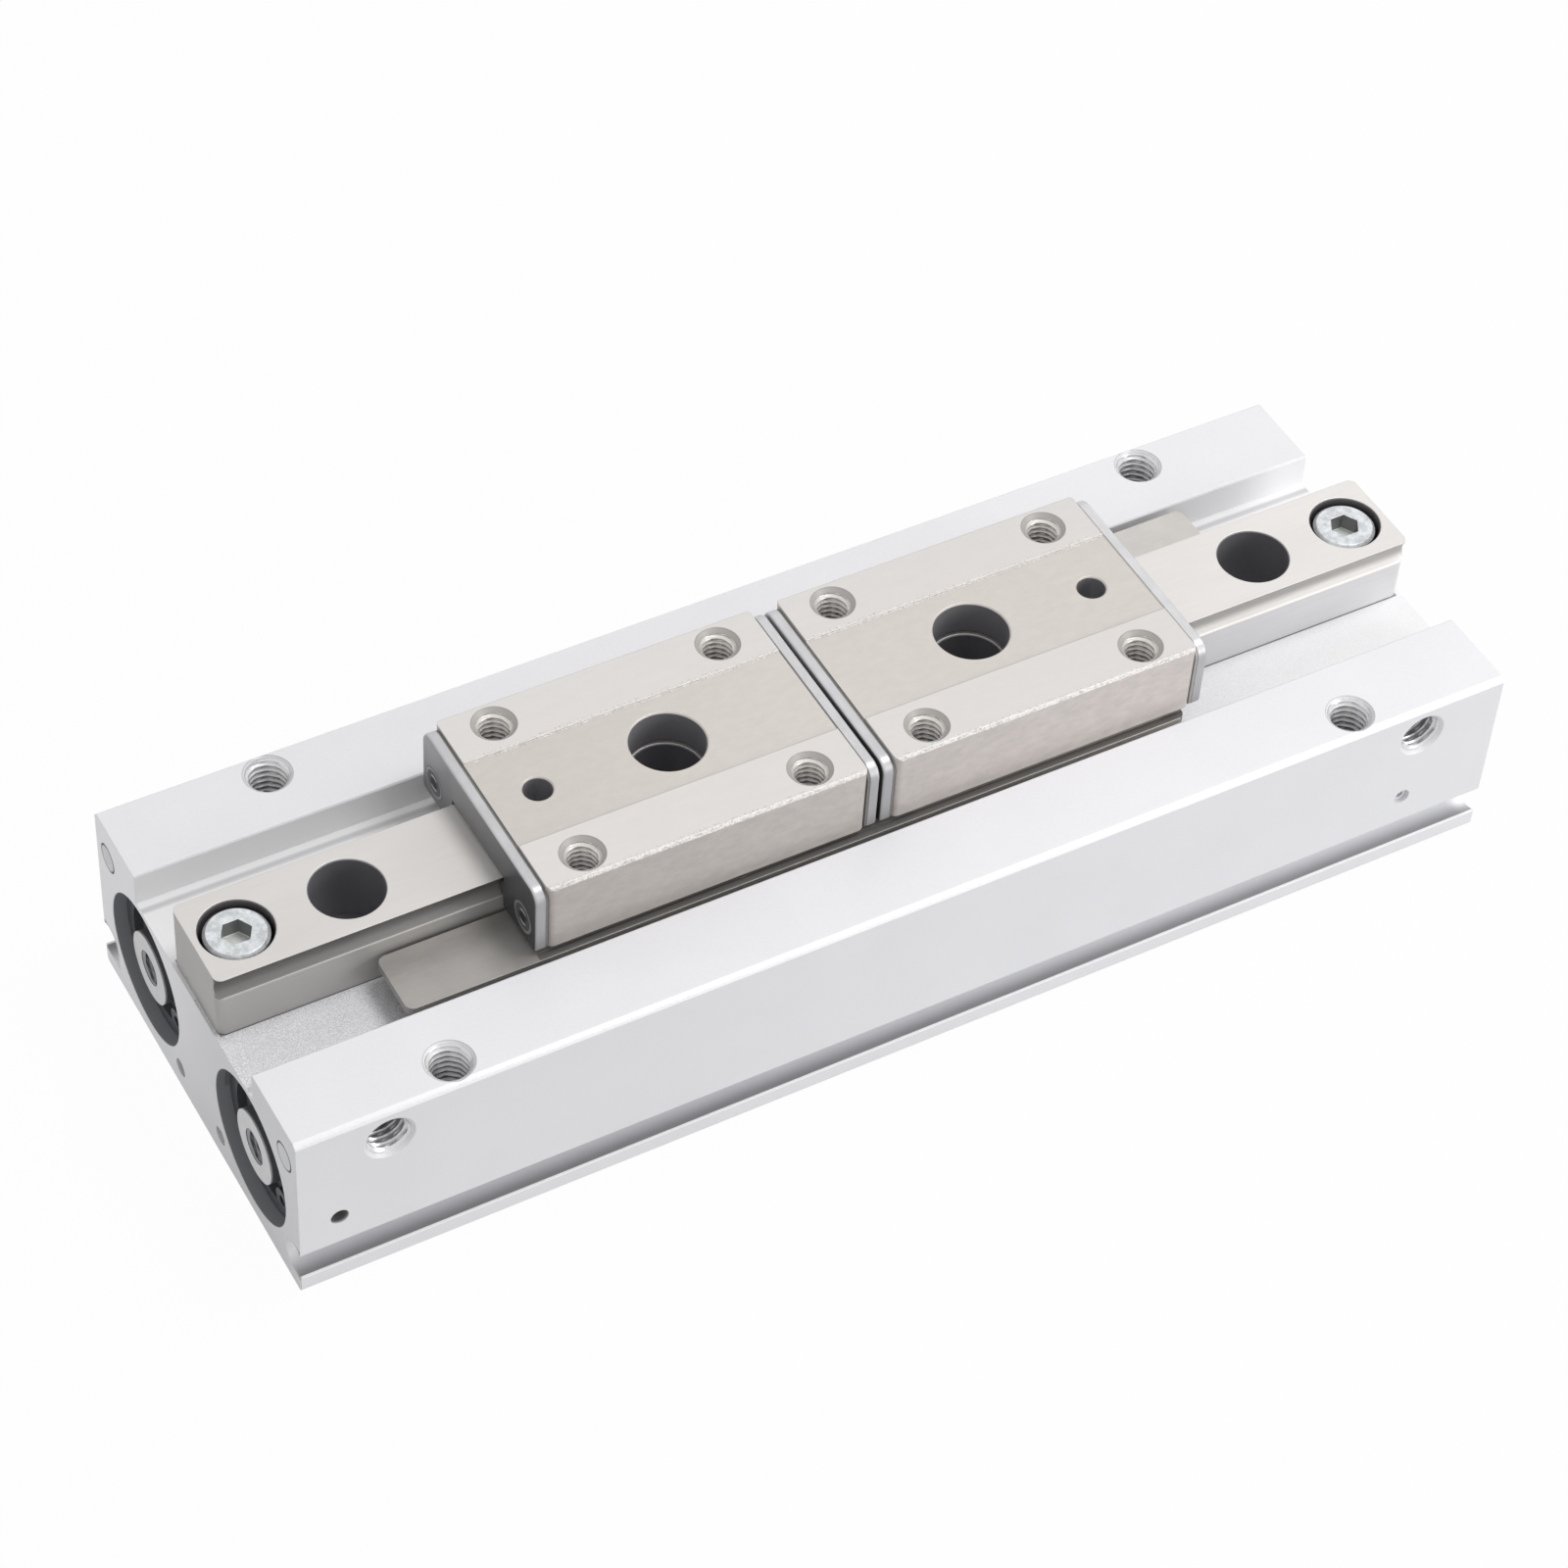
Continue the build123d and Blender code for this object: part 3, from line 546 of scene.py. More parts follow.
    def hole_mask(self, mix: Recipe) -> Socket:
        """Mask of the insides of the threaded holes, the mounting holes and the pinion's room.

        Args:
            mix: Material that is being made.

        Returns:
            Output socket, 1 inside.
        """
        plan = self.plan
        top = mix.both(mix.below(mix.z, plan.body_top - 0.5 * MM, 0.2 * MM),
                       mix.above(mix.z, plan.body_top - 7 * MM))
        threads = mix.both(mix.below(self.thread_radius(mix), self.thread_hole), top)
        ports = mix.around(mix.wide, mix.z, (plan.port_x, plan.port_z), self.thread_hole)
        ports = mix.both(ports, self.near_side(mix, 0.5 * MM))
        places = (plan.rail_hole_step / 2, 1.5 * plan.rail_hole_step)
        columns = [mix.around(mix.wide, mix.y, (place, 0.0), self.mount_hole) for place in places]
        mounts = mix.both(mix.either(*columns), mix.between(mix.z, 0.4 * MM, plan.channel_floor + 0.05 * MM))
        inner = mix.zone(across=(None, self.passage_half), wide=(None, plan.end_x - 1 * MM),
                         z=(plan.bore_z, plan.channel_floor - 0.15 * MM))
        return mix.either(threads, ports, mounts, inner)

    def small_hole_mask(self, mix: Recipe) -> Socket:
        """Mask of the inside of the small hole in the near side."""
        column = mix.around(mix.x, mix.z, (self.plan.side_hole_x, self.plan.side_hole_z), self.side_hole)
        return mix.both(column, self.near_side(mix, 0.25 * MM))

    def near_side(self, mix: Recipe, depth: float) -> Socket:
        """Mask of what lies below the near side, from a depth on."""
        front = -self.plan.side_y
        return mix.both(mix.below(mix.y, front + 6 * MM), mix.above(mix.y, front + depth, 0.2 * MM))


@dataclass(frozen=True)
class GroundSteel:
    """Ground and nickel plated steel of the rail and the finger blocks."""

    plan: Plan
    name: str
    colour: Colour
    side_colour: Colour
    metallic: float = 0.30
    roughness: float = 0.42
    # painted shade inside the holes of the rail and the finger blocks
    hole_shade_colour: Colour = (0.29, 0.285, 0.305)
    inner_hole: float = 4.25 * MM
    outer_hole: float = 4.1 * MM
    screw_seat: float = 4.0 * MM

    def streaked(self, mix: Recipe) -> Socket:
        """Fine grinding marks along X, as a number from 0 to 1."""
        return mix.noise(0.10 * MM, 3.0, (60, 1, 1), 0.6)

    def hole_mask(self, mix: Recipe) -> Socket:
        """Mask of the insides of the big holes.

        Args:
            mix: Material that is being made.

        Returns:
            Output socket, 1 inside.
        """
        plan = self.plan
        holes = ((plan.rail_hole_step / 2, self.inner_hole), (1.5 * plan.rail_hole_step, self.outer_hole),
                 (plan.rail_screw_x, self.screw_seat))
        return mix.either(*(mix.around(mix.wide, mix.y, (place, 0.0), radius) for place, radius in holes))


@dataclass(frozen=True)
class RailSteel(GroundSteel):
    """Finish of the guide rail."""

    # painted light: the rail's sides brighten towards the right end
    bright_side: Colour = (0.735, 0.73, 0.74)
    # painted shade: the raceways are darker than the sides
    raceway_colour: Colour = (0.31, 0.30, 0.29)
    # painted shade: thin dark lines at the raceways' upper edges and the rail's foot
    shade_line_colour: Colour = (0.10, 0.095, 0.09)
    # painted highlight on the rail's lower edges
    edge_colour: Colour = (0.74, 0.72, 0.70)
    # painted shade in the seats of the rail screws
    seat_shade_colour: Colour = (0.13, 0.12, 0.125)
    # painted highlight along the raceways' lower edges, brighter towards the right end
    lip_highlight_colour: Colour = (0.56, 0.54, 0.52)

    def build(self) -> bpy.types.Material:
        """Material with long grinding marks, painted light on its sides, top and raceways, painted
        highlights on its edges and lips, and painted shade on its raceways, lines and holes.
        """
        plan = self.plan
        mix = Recipe(self.name)
        marks = self.streaked(mix)
        cloud = mix.vary(mix.noise(6 * MM, 2.0, (3, 1, 1)), 0.97, 1.025)
        level = mix.both(mix.vary(marks, 0.96, 1.03), cloud)
        along = mix.fade(plan.rail_end, 0.0, 1.0)
        end = mix.spread(mix.wide, plan.rail_end - 0.5 * MM, plan.rail_end, 1.0, 0.88)
        # painted light: the sides and the top brighten towards the right end
        colour = mix.coat(
            mix.shade(mix.blend(along, self.side_colour, self.bright_side), end),
            (mix.above(mix.z, plan.rail_top - 0.08 * MM),
             mix.shade(self.colour, mix.spread(along, 0.0, 1.0, 0.98, 1.10))),
            (self.raceway_mask(mix), mix.shade(self.raceway_colour, self.raceway_painted_light(mix, along))),
            (self.lip_highlight_mask(mix), mix.shade(self.lip_highlight_colour, mix.spread(along, 0.0, 1.0, 0.92, 1.75))),
        )
        # painted highlight on the rail's lower edges
        edge = mix.both(mix.edges(0.09 * MM), mix.below(mix.z, plan.rail_top - 1 * MM, 0.5 * MM))
        deep = mix.below(mix.z, plan.rail_top - 0.05 * MM, 0.03 * MM)
        # painted shade in the rail's holes, lighter towards their bottom
        low = mix.spread(mix.z, plan.channel_floor, plan.rail_top, 1.25, 0.75)
        seat = mix.around(mix.wide, mix.y, (plan.rail_screw_x, 0.0), self.screw_seat + 0.05 * MM)
        colour = mix.coat(
            mix.shade(colour, level),
            (edge, self.edge_colour),
            (self.shade_line_mask(mix), self.shade_line_colour),
            (mix.both(self.hole_mask(mix), deep), mix.shade(self.hole_shade_colour, low)),
            (mix.both(seat, deep), self.seat_shade_colour),
        )
        roughness = mix.vary(marks, self.roughness - 0.05, self.roughness + 0.07)
        return mix.finish(colour, self.metallic, roughness, mix.bump(marks, 0.0012 * MM, 0.5, 0.10 * MM))

    def raceway_painted_light(self, mix: Recipe, along: Socket) -> Socket:
        """Painted light and shade on the raceways, darker at the left end and lighter at the right end.

        Args:
            mix: Material that is being made.
            along: Number from 0 at the left end to 1 at the right end.

        Returns:
            Output socket.
        """
        top = self.plan.rail_top
        left_end_light = mix.spread(mix.z, top - 2.85 * MM, top - 0.5 * MM, 0.70, 0.37)
        right_end_light = mix.spread(mix.z, top - 2.8 * MM, top - 2.3 * MM, 2.7, 1.55)
        return mix.math("ADD", left_end_light, mix.both(along, mix.less(right_end_light, left_end_light)))

    def raceway_mask(self, mix: Recipe) -> Socket:
        """Mask of the round raceways along both sides."""
        plan = self.plan
        return mix.zone(across=(plan.rail_half - 0.9 * MM, plan.rail_half - 0.03 * MM),
                        z=(plan.rail_top - 2.88 * MM, plan.rail_top - 0.12 * MM),
                        wide=(None, plan.rail_end - 0.03 * MM))

    def lip_highlight_mask(self, mix: Recipe) -> Socket:
        """Mask of the painted highlight line along a raceway's lower edge."""
        plan = self.plan
        side = mix.zone(across=(plan.rail_half - 0.12 * MM, None), wide=(None, plan.rail_end - 0.03 * MM),
                        z=(None, plan.rail_top - 2.82 * MM))
        return mix.both(side, mix.above(mix.z, plan.rail_top - 3.08 * MM, 0.04 * MM))

    def shade_line_mask(self, mix: Recipe) -> Socket:
        """Mask of the thin lines of painted shade at a raceway's upper edge and at the rail's foot.

        Args:
            mix: Material that is being made.

        Returns:
            Output socket, 1 on a line.
        """
        plan = self.plan
        under_top = mix.both(mix.below(mix.z, plan.rail_top - 0.08 * MM),
                             mix.above(mix.z, plan.rail_top - 0.24 * MM, 0.05 * MM))
        foot = mix.below(mix.z, plan.channel_floor + 0.10 * MM, 0.05 * MM)
        return mix.both(mix.above(mix.across, plan.rail_half - 0.9 * MM), mix.either(under_top, foot))


@dataclass(frozen=True)
class FingerSteel(GroundSteel):
    """Finish of a finger block: pale pads, a warmer band, ragged painted highlights along two edges, and
    painted shade lines.
    """

    band_colour: Colour = (0.62, 0.58, 0.545)
    # painted highlight: ragged lines along the far band border and the near outer edge
    ragged_highlight_colour: Colour = (0.735, 0.712, 0.69)
    # painted shade: the dark specks, the step line and the line at the bevels' foot
    edge_shade_colour: Colour = (0.47, 0.45, 0.435)
    # painted shade: the thread countersinks and their thin rims are painted darker
    mouth_shade_colour: Colour = (0.44, 0.422, 0.405)
    rim_colour: Colour = (0.36, 0.345, 0.33)
    pin_hole: float = 1.7 * MM
    thread_hole: float = 2.1 * MM
    mouth_radius: float = 2.44 * MM
    rim_ring: Span = (2.38 * MM, 2.50 * MM)

    def build(self) -> bpy.types.Material:
        """Material with its pads, band, sides, painted light along the sides and band, ragged painted
        highlights, painted shade lines and painted shade in its holes.
        """
        plan = self.plan
        mix = Recipe(self.name)
        marks = self.streaked(mix)
        mottle = mix.noise(0.9 * MM, 5.0, (2, 1, 1), 0.7)
        level = mix.both(mix.vary(marks, 0.98, 1.015), mix.spread(mottle, 0.25, 0.75, 0.985, 1.01))
        # painted light: the band brightens from the left end up to the middle, mixed with a random mottle
        band_light_and_mottle = mix.both(mix.spread(mix.x, -plan.finger_outer, 0.0, 0.96, 1.03),
                          mix.spread(mottle, 0.25, 0.75, 0.975, 1.015))
        band = mix.shade(self.band_colour, band_light_and_mottle)
        top = mix.blend(mix.below(mix.across, plan.band_half), self.colour, band)
        # painted light: the sides are lit up towards their foot and brighten towards the right, and the pads
        # darken slightly towards the right
        low = mix.spread(mix.z, plan.body_top - 1.4 * MM, plan.body_top + 1.5 * MM, 1.60, 1.0)
        painted_light_along_x = mix.fade(plan.finger_outer, 0.95, 1.20)
        side = mix.shade(self.side_colour, mix.both(low, painted_light_along_x, mix.spread(mottle, 0.25, 0.75, 0.92, 1.05)))
        upward = mix.above(mix.z, plan.finger_top - 0.32 * MM)
        ground = mix.blend(upward, side, mix.shade(top, mix.fade(plan.finger_outer, 1.0, 0.96)))
        ragged_glints, specks = self.ragged_masks(mix)
        offset = mix.size(mix.less(mix.wide, plan.finger_middle))
        radius = mix.distance(offset, mix.across, (plan.finger_thread_x, plan.finger_thread_y))
        rim = mix.both(mix.above(radius, self.rim_ring[0], 0.04 * MM),
                       mix.below(radius, self.rim_ring[1], 0.03 * MM))
        colour = mix.coat(
            mix.shade(ground, level),
            (self.bevel_mask(mix), self.bevel_colour(mix)),
            (self.step_mask(mix), self.edge_shade_colour),
            (ragged_glints, self.ragged_highlight_colour),
            (specks, self.edge_shade_colour),
            # painted shade on the thread countersinks and their rims
            (mix.below(radius, self.mouth_radius), self.mouth_shade_colour),
            (rim, self.rim_colour),
            (self.inside_mask(mix, radius), self.hole_shade_colour),
        )
        roughness = mix.vary(marks, self.roughness - 0.04, self.roughness + 0.08)
        return mix.finish(colour, self.metallic, roughness, mix.bump(marks, 0.001 * MM, 0.4, 0.12 * MM))

    def inside_mask(self, mix: Recipe, radius: Socket) -> Socket:
        """Mask of the insides of the access hole, the locating hole and the threads.

        Args:
            mix: Material that is being made.
            radius: Distance from the nearest thread's axis.

        Returns:
            Output socket, 1 inside.
        """
        plan = self.plan
        deep = mix.below(mix.z, plan.finger_top - plan.band_depth - 0.17 * MM, 0.03 * MM)
        pin = mix.around(mix.wide, mix.y, (plan.finger_middle + plan.finger_thread_x, 0.0), self.pin_hole)
        threads = mix.both(mix.below(radius, self.thread_hole), mix.below(mix.z, plan.finger_top - 1 * MM))
        return mix.either(mix.both(mix.either(self.hole_mask(mix), pin), deep), threads)

    def bevel_mask(self, mix: Recipe) -> Socket:
        """Mask of the bevels along the block's upper long edges."""
        plan = self.plan
        return mix.zone(across=(plan.finger_half - 0.29 * MM, None), z=(plan.finger_top - 0.34 * MM, None))

    def bevel_colour(self, mix: Recipe) -> Socket:
        """Blotched painted highlight and shade on the bevels, with a painted dark line at their foot."""
        blotches = mix.spread(mix.noise(0.28 * MM, 3.0, (1.6, 1, 1), 0.75), 0.34, 0.62, 0.62, 1.10)
        return mix.blend(mix.below(mix.z, self.plan.finger_top - 0.27 * MM, 0.03 * MM),
                         mix.shade(self.colour, blotches), self.edge_shade_colour)

    def step_mask(self, mix: Recipe) -> Socket:
        """Mask of the crisp thin line of painted shade at the step between the near pad and the band."""
        gap = mix.size(mix.math("ADD", mix.y, self.plan.band_half))
        top = mix.above(mix.z, self.plan.finger_top - 0.36 * MM)
        return mix.both(mix.below(gap, 0.06 * MM, 0.03 * MM), top)

    def ragged_masks(self, mix: Recipe) -> tuple[Socket, Socket]:
        """Masks of the uneven lines of painted highlight along the far band border and the near outer edge,
        and of the painted dark specks beside them.

        Args:
            mix: Material that is being made.

        Returns:
            Two output sockets, 1 on a painted highlight and on a painted speck.
        """
        plan = self.plan
        fray = mix.noise(0.24 * MM, 3.0, (1.3, 1, 1), 0.75)
        reach = mix.spread(fray, 0.38, 0.62, -0.06 * MM, 0.38 * MM)
        speck = mix.noise(0.22 * MM, 3.0, (1.3, 1, 1), 0.75)
        places = (plan.band_half + 0.08 * MM, 0.28 * MM - plan.finger_half)
        gaps = [mix.size(mix.less(mix.y, place)) for place in places]
        lines = [mix.below(mix.less(gap, reach), 0.0, 0.04 * MM) for gap in gaps]
        borders = [mix.below(gap, 0.36 * MM, 0.08 * MM) for gap in gaps]
        top = mix.above(mix.z, plan.finger_top - 0.36 * MM)
        broken = mix.spread(mix.noise(0.5 * MM, 3.0, (1.6, 1, 1), 0.7), 0.40, 0.56)
        ragged_glints = mix.both(mix.either(*lines), broken, top)
        return ragged_glints, mix.both(mix.either(*borders), mix.spread(speck, 0.54, 0.62), top)


@dataclass(frozen=True)
class SatinSteel:
    """Plain steel with directional marks, for the smaller steel pieces."""

    name: str
    colour: Colour
    metallic: float = 0.45
    roughness: float = 0.38
    grain: float = 0.12 * MM
    stretch: Place = (20, 1, 1)
    edge_radius: float = 0.08 * MM

    def build(self) -> bpy.types.Material:
        """Material with streaks, a little mottling and painted highlights on its edges."""
        mix = Recipe(self.name)
        marks = self.streaked(mix)
        return self.finished(mix, self.dappled(mix, marks), marks)

    def streaked(self, mix: Recipe) -> Socket:
        """Streaks along the piece, as a number from 0 to 1."""
        return mix.noise(self.grain, 3.0, self.stretch, 0.6)

    def dappled(self, mix: Recipe, marks: Socket) -> Socket:
        """Colour with its streaks, mottling and painted highlights on its edges.

        Args:
            mix: Material that is being made.
            marks: Streaks, as a number from 0 to 1.

        Returns:
            Colour socket.
        """
        level = mix.both(mix.vary(marks, 0.95, 1.04), mix.vary(mix.noise(2.5 * MM, 2.0), 0.96, 1.03))
        painted_pale_edge = tuple(min(1.0, part * 1.35) for part in self.colour)
        return mix.blend(mix.both(mix.edges(self.edge_radius), 0.7), mix.shade(self.colour, level), painted_pale_edge)

    def finished(self, mix: Recipe, colour: Paint, marks: Socket) -> bpy.types.Material:
        """Material of a colour, with the streaks pressed into its surface.

        Args:
            mix: Material that is being made.
            colour: Colour socket.
            marks: Streaks, as a number from 0 to 1.

        Returns:
            The finished material.
        """
        normal = mix.bump(marks, 0.0015 * MM, 0.5, self.edge_radius)
        roughness = mix.vary(marks, self.roughness - 0.05, self.roughness + 0.08)
        return mix.finish(colour, self.metallic, roughness, normal)


@dataclass(frozen=True)
class RackSteel(SatinSteel):
    """Rack plates, with a painted shadow line along their outer border under the fingers, and painted light
    towards the right.
    """

    plan: Plan | None = None
    # painted shadow along the outer border under the fingers
    strip_colour: Colour = (0.18, 0.174, 0.168)

    def build(self) -> bpy.types.Material:
        """Material with streaks, the painted shadow line and painted light towards the right."""
        plan = self.plan
        mix = Recipe(self.name)
        marks = self.streaked(mix)
        # painted shadow line under the fingers, and painted light towards the right
        border = mix.between(mix.across, plan.finger_half - 0.3 * MM,
                             plan.finger_half + 0.56 * MM, 0.05 * MM)
        shadow_strip = mix.both(border, mix.below(mix.wide, plan.finger_outer + 1.2 * MM))
        painted_light_along_x = mix.spread(mix.x, 0.0, 1.2 * plan.finger_outer, 0.88, 1.36)
        colour = mix.blend(shadow_strip, mix.shade(self.dappled(mix, marks), painted_light_along_x), self.strip_colour)
        return self.finished(mix, colour, marks)


@dataclass(frozen=True)
class SocketZinc(SatinSteel):
    """Bright zinc of the rail screws, with painted shade on the walls of the hex socket and round the head,
    and a painted highlight on the socket's bottom.
    """

    plan: Plan | None = None
    # painted shade on the socket walls and round the head, and a painted highlight on the socket's bottom
    painted_wall_colour: Colour = (0.20, 0.208, 0.208)
    bottom_colour: Colour = (0.95, 0.97, 0.93)
    socket_radius: float = 1.80 * MM
    socket_depth: float = 2.0 * MM
    head_radius: float = 3.42 * MM
    head_drop: float = 0.4 * MM
    bevel: float = 0.35 * MM

    def build(self) -> bpy.types.Material:
        """Material with a paler head, painted shade in its socket and round it, and a painted highlight on
        the socket's bottom.
        """
        mix = Recipe(self.name)
        marks = self.streaked(mix)
        blotch = mix.spread(mix.noise(0.9 * MM, 3.0, harsh=0.65), 0.34, 0.66, 0.86, 1.22)
        radius = mix.distance(mix.wide, mix.y, (self.plan.rail_screw_x, 0.0))
        head_top = self.plan.rail_top - self.head_drop
        bottom = mix.below(mix.z, head_top - self.socket_depth + 0.06 * MM)
        inside = mix.both(mix.below(radius, self.socket_radius), mix.below(mix.z, head_top - 0.05 * MM))
        outside = mix.both(mix.above(radius, self.head_radius), mix.below(mix.z, head_top - self.bevel))
        colour = mix.coat(
            mix.shade(self.dappled(mix, marks), blotch),
            (inside, mix.blend(bottom, self.painted_wall_colour, self.bottom_colour)),
            (outside, self.painted_wall_colour),
        )
        return self.finished(mix, colour, marks)


@dataclass(frozen=True)
class PlateSteel:
    """End plates: pale rims with painted light and shade, and outer faces darkened by painted shade and
    reflection.
    """

    plan: Plan
    name: str = "end_plate_steel"
    edge_colour: Colour = (0.60, 0.60, 0.61)
    # painted shade and reflection on the outer faces
    near_colour: Colour = (0.085, 0.085, 0.09)
    far_colour: Colour = (0.33, 0.33, 0.34)

    def build(self) -> bpy.types.Material:
        """Material with pale rims that brighten towards the right and darken downwards, and outer faces in
        painted shade that darkens towards the port side and the foot.
        """
        plan = self.plan
        mix = Recipe(self.name)
        marks = mix.noise(0.12 * MM, 3.0, (1, 6, 1), 0.6)
        level = mix.both(mix.vary(marks, 0.95, 1.04), mix.vary(mix.noise(3 * MM, 2.0), 0.95, 1.04))
        faces = mix.either(mix.above(mix.wide, plan.finger_outer + 1.40 * MM, 0.06 * MM),
                           mix.below(mix.wide, plan.finger_inner - 1.40 * MM, 0.06 * MM))
        # painted shade and reflection on the outer faces, painted light and shade on the rims
        far = mix.spread(mix.y, -plan.finger_half, plan.finger_half)
        height = mix.spread(mix.z, plan.finger_bottom, plan.finger_top, 0.6, 1.25)
        face = mix.shade(mix.blend(far, self.near_colour, self.far_colour), height)
        rim_shade = mix.spread(mix.z, plan.finger_top - 1.8 * MM, plan.finger_top - 0.3 * MM, 0.74, 1.0)
        edge = mix.shade(self.edge_colour, mix.both(mix.fade(plan.finger_outer, 0.92, 1.06), rim_shade))
        colour = mix.shade(mix.blend(faces, edge, face), level)
        normal = mix.bump(marks, 0.002 * MM, 0.4, 0.10 * MM)
        return mix.finish(colour, 0.35, mix.vary(marks, 0.36, 0.46), normal)


@dataclass(frozen=True)
class PlateScrewSteel:
    """Dark countersunk screws of the end plates, with a pale rim and a small recess in painted shade."""

    plan: Plan
    name: str = "plate_screw_black"
    colour: Colour = (0.12, 0.12, 0.125)
    rim_colour: Colour = (0.36, 0.36, 0.38)
    recess_shade_colour: Colour = (0.015, 0.015, 0.016)
    glint_colour: Colour = (0.75, 0.75, 0.76)
    rim_ring: Span = (1.55 * MM, 1.86 * MM)
    glint_ring: Span = (0.72 * MM, 0.98 * MM)
    recess_radius: float = 0.75 * MM

    def build(self) -> bpy.types.Material:
        """Material with a pale rim, a recess in painted shade and small glints at its border."""
        plan = self.plan
        mix = Recipe(self.name)
        marks = mix.noise(0.3 * MM)
        radius = mix.distance(mix.across, mix.z, (plan.plate_screw_y, plan.plate_screw_z))
        rim = mix.both(mix.above(radius, self.rim_ring[0], 0.06 * MM),
                       mix.below(radius, self.rim_ring[1], 0.05 * MM))
        height = mix.size(mix.less(mix.z, plan.plate_screw_z))
        ring = mix.between(radius, *self.glint_ring, 0.05 * MM)
        colour = mix.coat(
            mix.shade(self.colour, mix.vary(marks, 0.8, 1.25)),
            (rim, self.rim_colour),
            (mix.below(radius, self.recess_radius, 0.05 * MM), self.recess_shade_colour),
            (mix.both(ring, mix.above(height, 0.66 * MM, 0.08 * MM)), self.glint_colour),
        )
        normal = mix.bump(marks, 0.002 * MM, 0.5, 0.08 * MM)
        return mix.finish(colour, 0.4, mix.vary(marks, 0.34, 0.48), normal)


@dataclass(frozen=True)
class ThreadMetal:
    """Metal inside a threaded hole, with painted shade that darkens it the deeper it lies."""

    name: str
    colour: Colour
    deep_shade_colour: Colour
    axis: str
    mouth: float
    reach: float

    def build(self) -> bpy.types.Material:
        """Material with painted shade that darkens with its distance from the hole's mouth."""
        mix = Recipe(self.name)
        depth = mix.less(self.mouth, mix.size(getattr(mix, self.axis)))
        marks = mix.noise(0.2 * MM)
        colour = mix.blend(mix.spread(depth, 0.4 * MM, self.reach), self.colour, self.deep_shade_colour)
        colour = mix.shade(colour, mix.spread(marks, 0.25, 0.75, 0.94, 1.05))
        return mix.finish(colour, 0.55, 0.30, mix.bump(marks, 0.002 * MM, 0.5))


@dataclass(frozen=True)
class BlackOxide:
    """Oiled black spring steel."""

    name: str = "black_oxide"
    colour: Colour = (0.085, 0.088, 0.10)
    painted_edge_colour: Colour = (0.24, 0.24, 0.26)

    def build(self) -> bpy.types.Material:
        """Dark satin material with a faint grey painted highlight along its edges."""
        mix = Recipe(self.name)
        marks = mix.noise(0.4 * MM)
        colour = mix.shade(self.colour, mix.vary(marks, 0.85, 1.2))
        colour = mix.blend(mix.both(mix.edges(0.08 * MM), 0.4), colour, self.painted_edge_colour)
        normal = mix.bump(marks, 0.003 * MM, 0.5, 0.08 * MM)
        return mix.finish(colour, 0.3, mix.vary(marks, 0.36, 0.5), normal)


@dataclass(frozen=True)
class SoftCompound:
    """Rubber or moulded plastic of the seals, bumpers, wear rings and magnets."""

    name: str
    colour: Colour
    roughness: float = 0.55
    grain: float = 0.25 * MM
    # painted light: the part is paler towards the right
    painted_light_on_right: float = 1.0

    def build(self) -> bpy.types.Material:
        """Matt material with a fine moulded grain, and painted light that makes it paler at the right of the
        part.
        """
        mix = Recipe(self.name)
        grain = mix.noise(self.grain, 4.0, harsh=0.65)
        colour = mix.shade(self.colour, mix.vary(grain, 0.82, 1.2))
        colour = mix.shade(colour, mix.spread(mix.x, 5 * MM, 25 * MM, 1.0, self.painted_light_on_right))
        normal = mix.bump(grain, 0.004 * MM, 0.6, 0.06 * MM)
        roughness = mix.vary(grain, self.roughness - 0.08, self.roughness + 0.1)
        return mix.finish(colour, 0.0, roughness, normal)


@dataclass(frozen=True)
class CapAluminium:
    """Turned aluminium of the bore caps: dark flange and a pale boss."""

    plan: Plan
    name: str = "cap_aluminium"
    boss_colour: Colour = (0.66, 0.66, 0.67)
    flange_colour: Colour = (0.15, 0.152, 0.165)
    # painted shade inside the boss's threaded hole
    hole_shade_colour: Colour = (0.05, 0.05, 0.05)
    ring_pitch: float = 0.14 * MM
    boss_radius: float = 4.3 * MM
    hole_radius: float = 2.03 * MM

    def build(self) -> bpy.types.Material:
        """Material with turning rings, whose boss is paler than its flange."""
        plan = self.plan
        mix = Recipe(self.name)
        radius = mix.distance(mix.across, mix.z, (plan.bore_y, plan.bore_z))
        rings = mix.math("SINE", mix.both(radius, tau / self.ring_pitch))
        boss = mix.both(mix.above(mix.wide, plan.end_x - 0.6 * MM), mix.below(radius, self.boss_radius))
        colour = mix.coat(self.flange_colour, (boss, self.boss_colour),
                          (mix.below(radius, self.hole_radius), self.hole_shade_colour))
        colour = mix.shade(colour, mix.vary(mix.noise(1.2 * MM), 0.94, 1.05))
        return mix.finish(colour, 0.3, 0.40, mix.bump(rings, 0.0008 * MM, 0.4, 0.10 * MM))


@dataclass(frozen=True)
class PlugMetal:
    """Passage plugs: as pale as the body, with a ring of painted shade round them."""

    plan: Plan
    name: str = "plug_metal"
    colour: Colour = (0.74, 0.74, 0.76)
    seam_shade_colour: Colour = (0.04, 0.04, 0.042)
    face_radius: float = 1.50 * MM

    def build(self) -> bpy.types.Material:
        """Material with a pale face and a border in painted shade."""
        mix = Recipe(self.name)
        marks = mix.noise(0.2 * MM)
        radius = mix.distance(mix.across, mix.z, (self.plan.plug_y, self.plan.plug_z))
        colour = mix.shade(self.colour, mix.vary(marks, 0.94, 1.04))
        colour = mix.blend(mix.above(radius, self.face_radius, 0.05 * MM), colour, self.seam_shade_colour)
        return mix.finish(colour, 0.15, 0.48, mix.bump(marks, 0.003 * MM, 0.5))


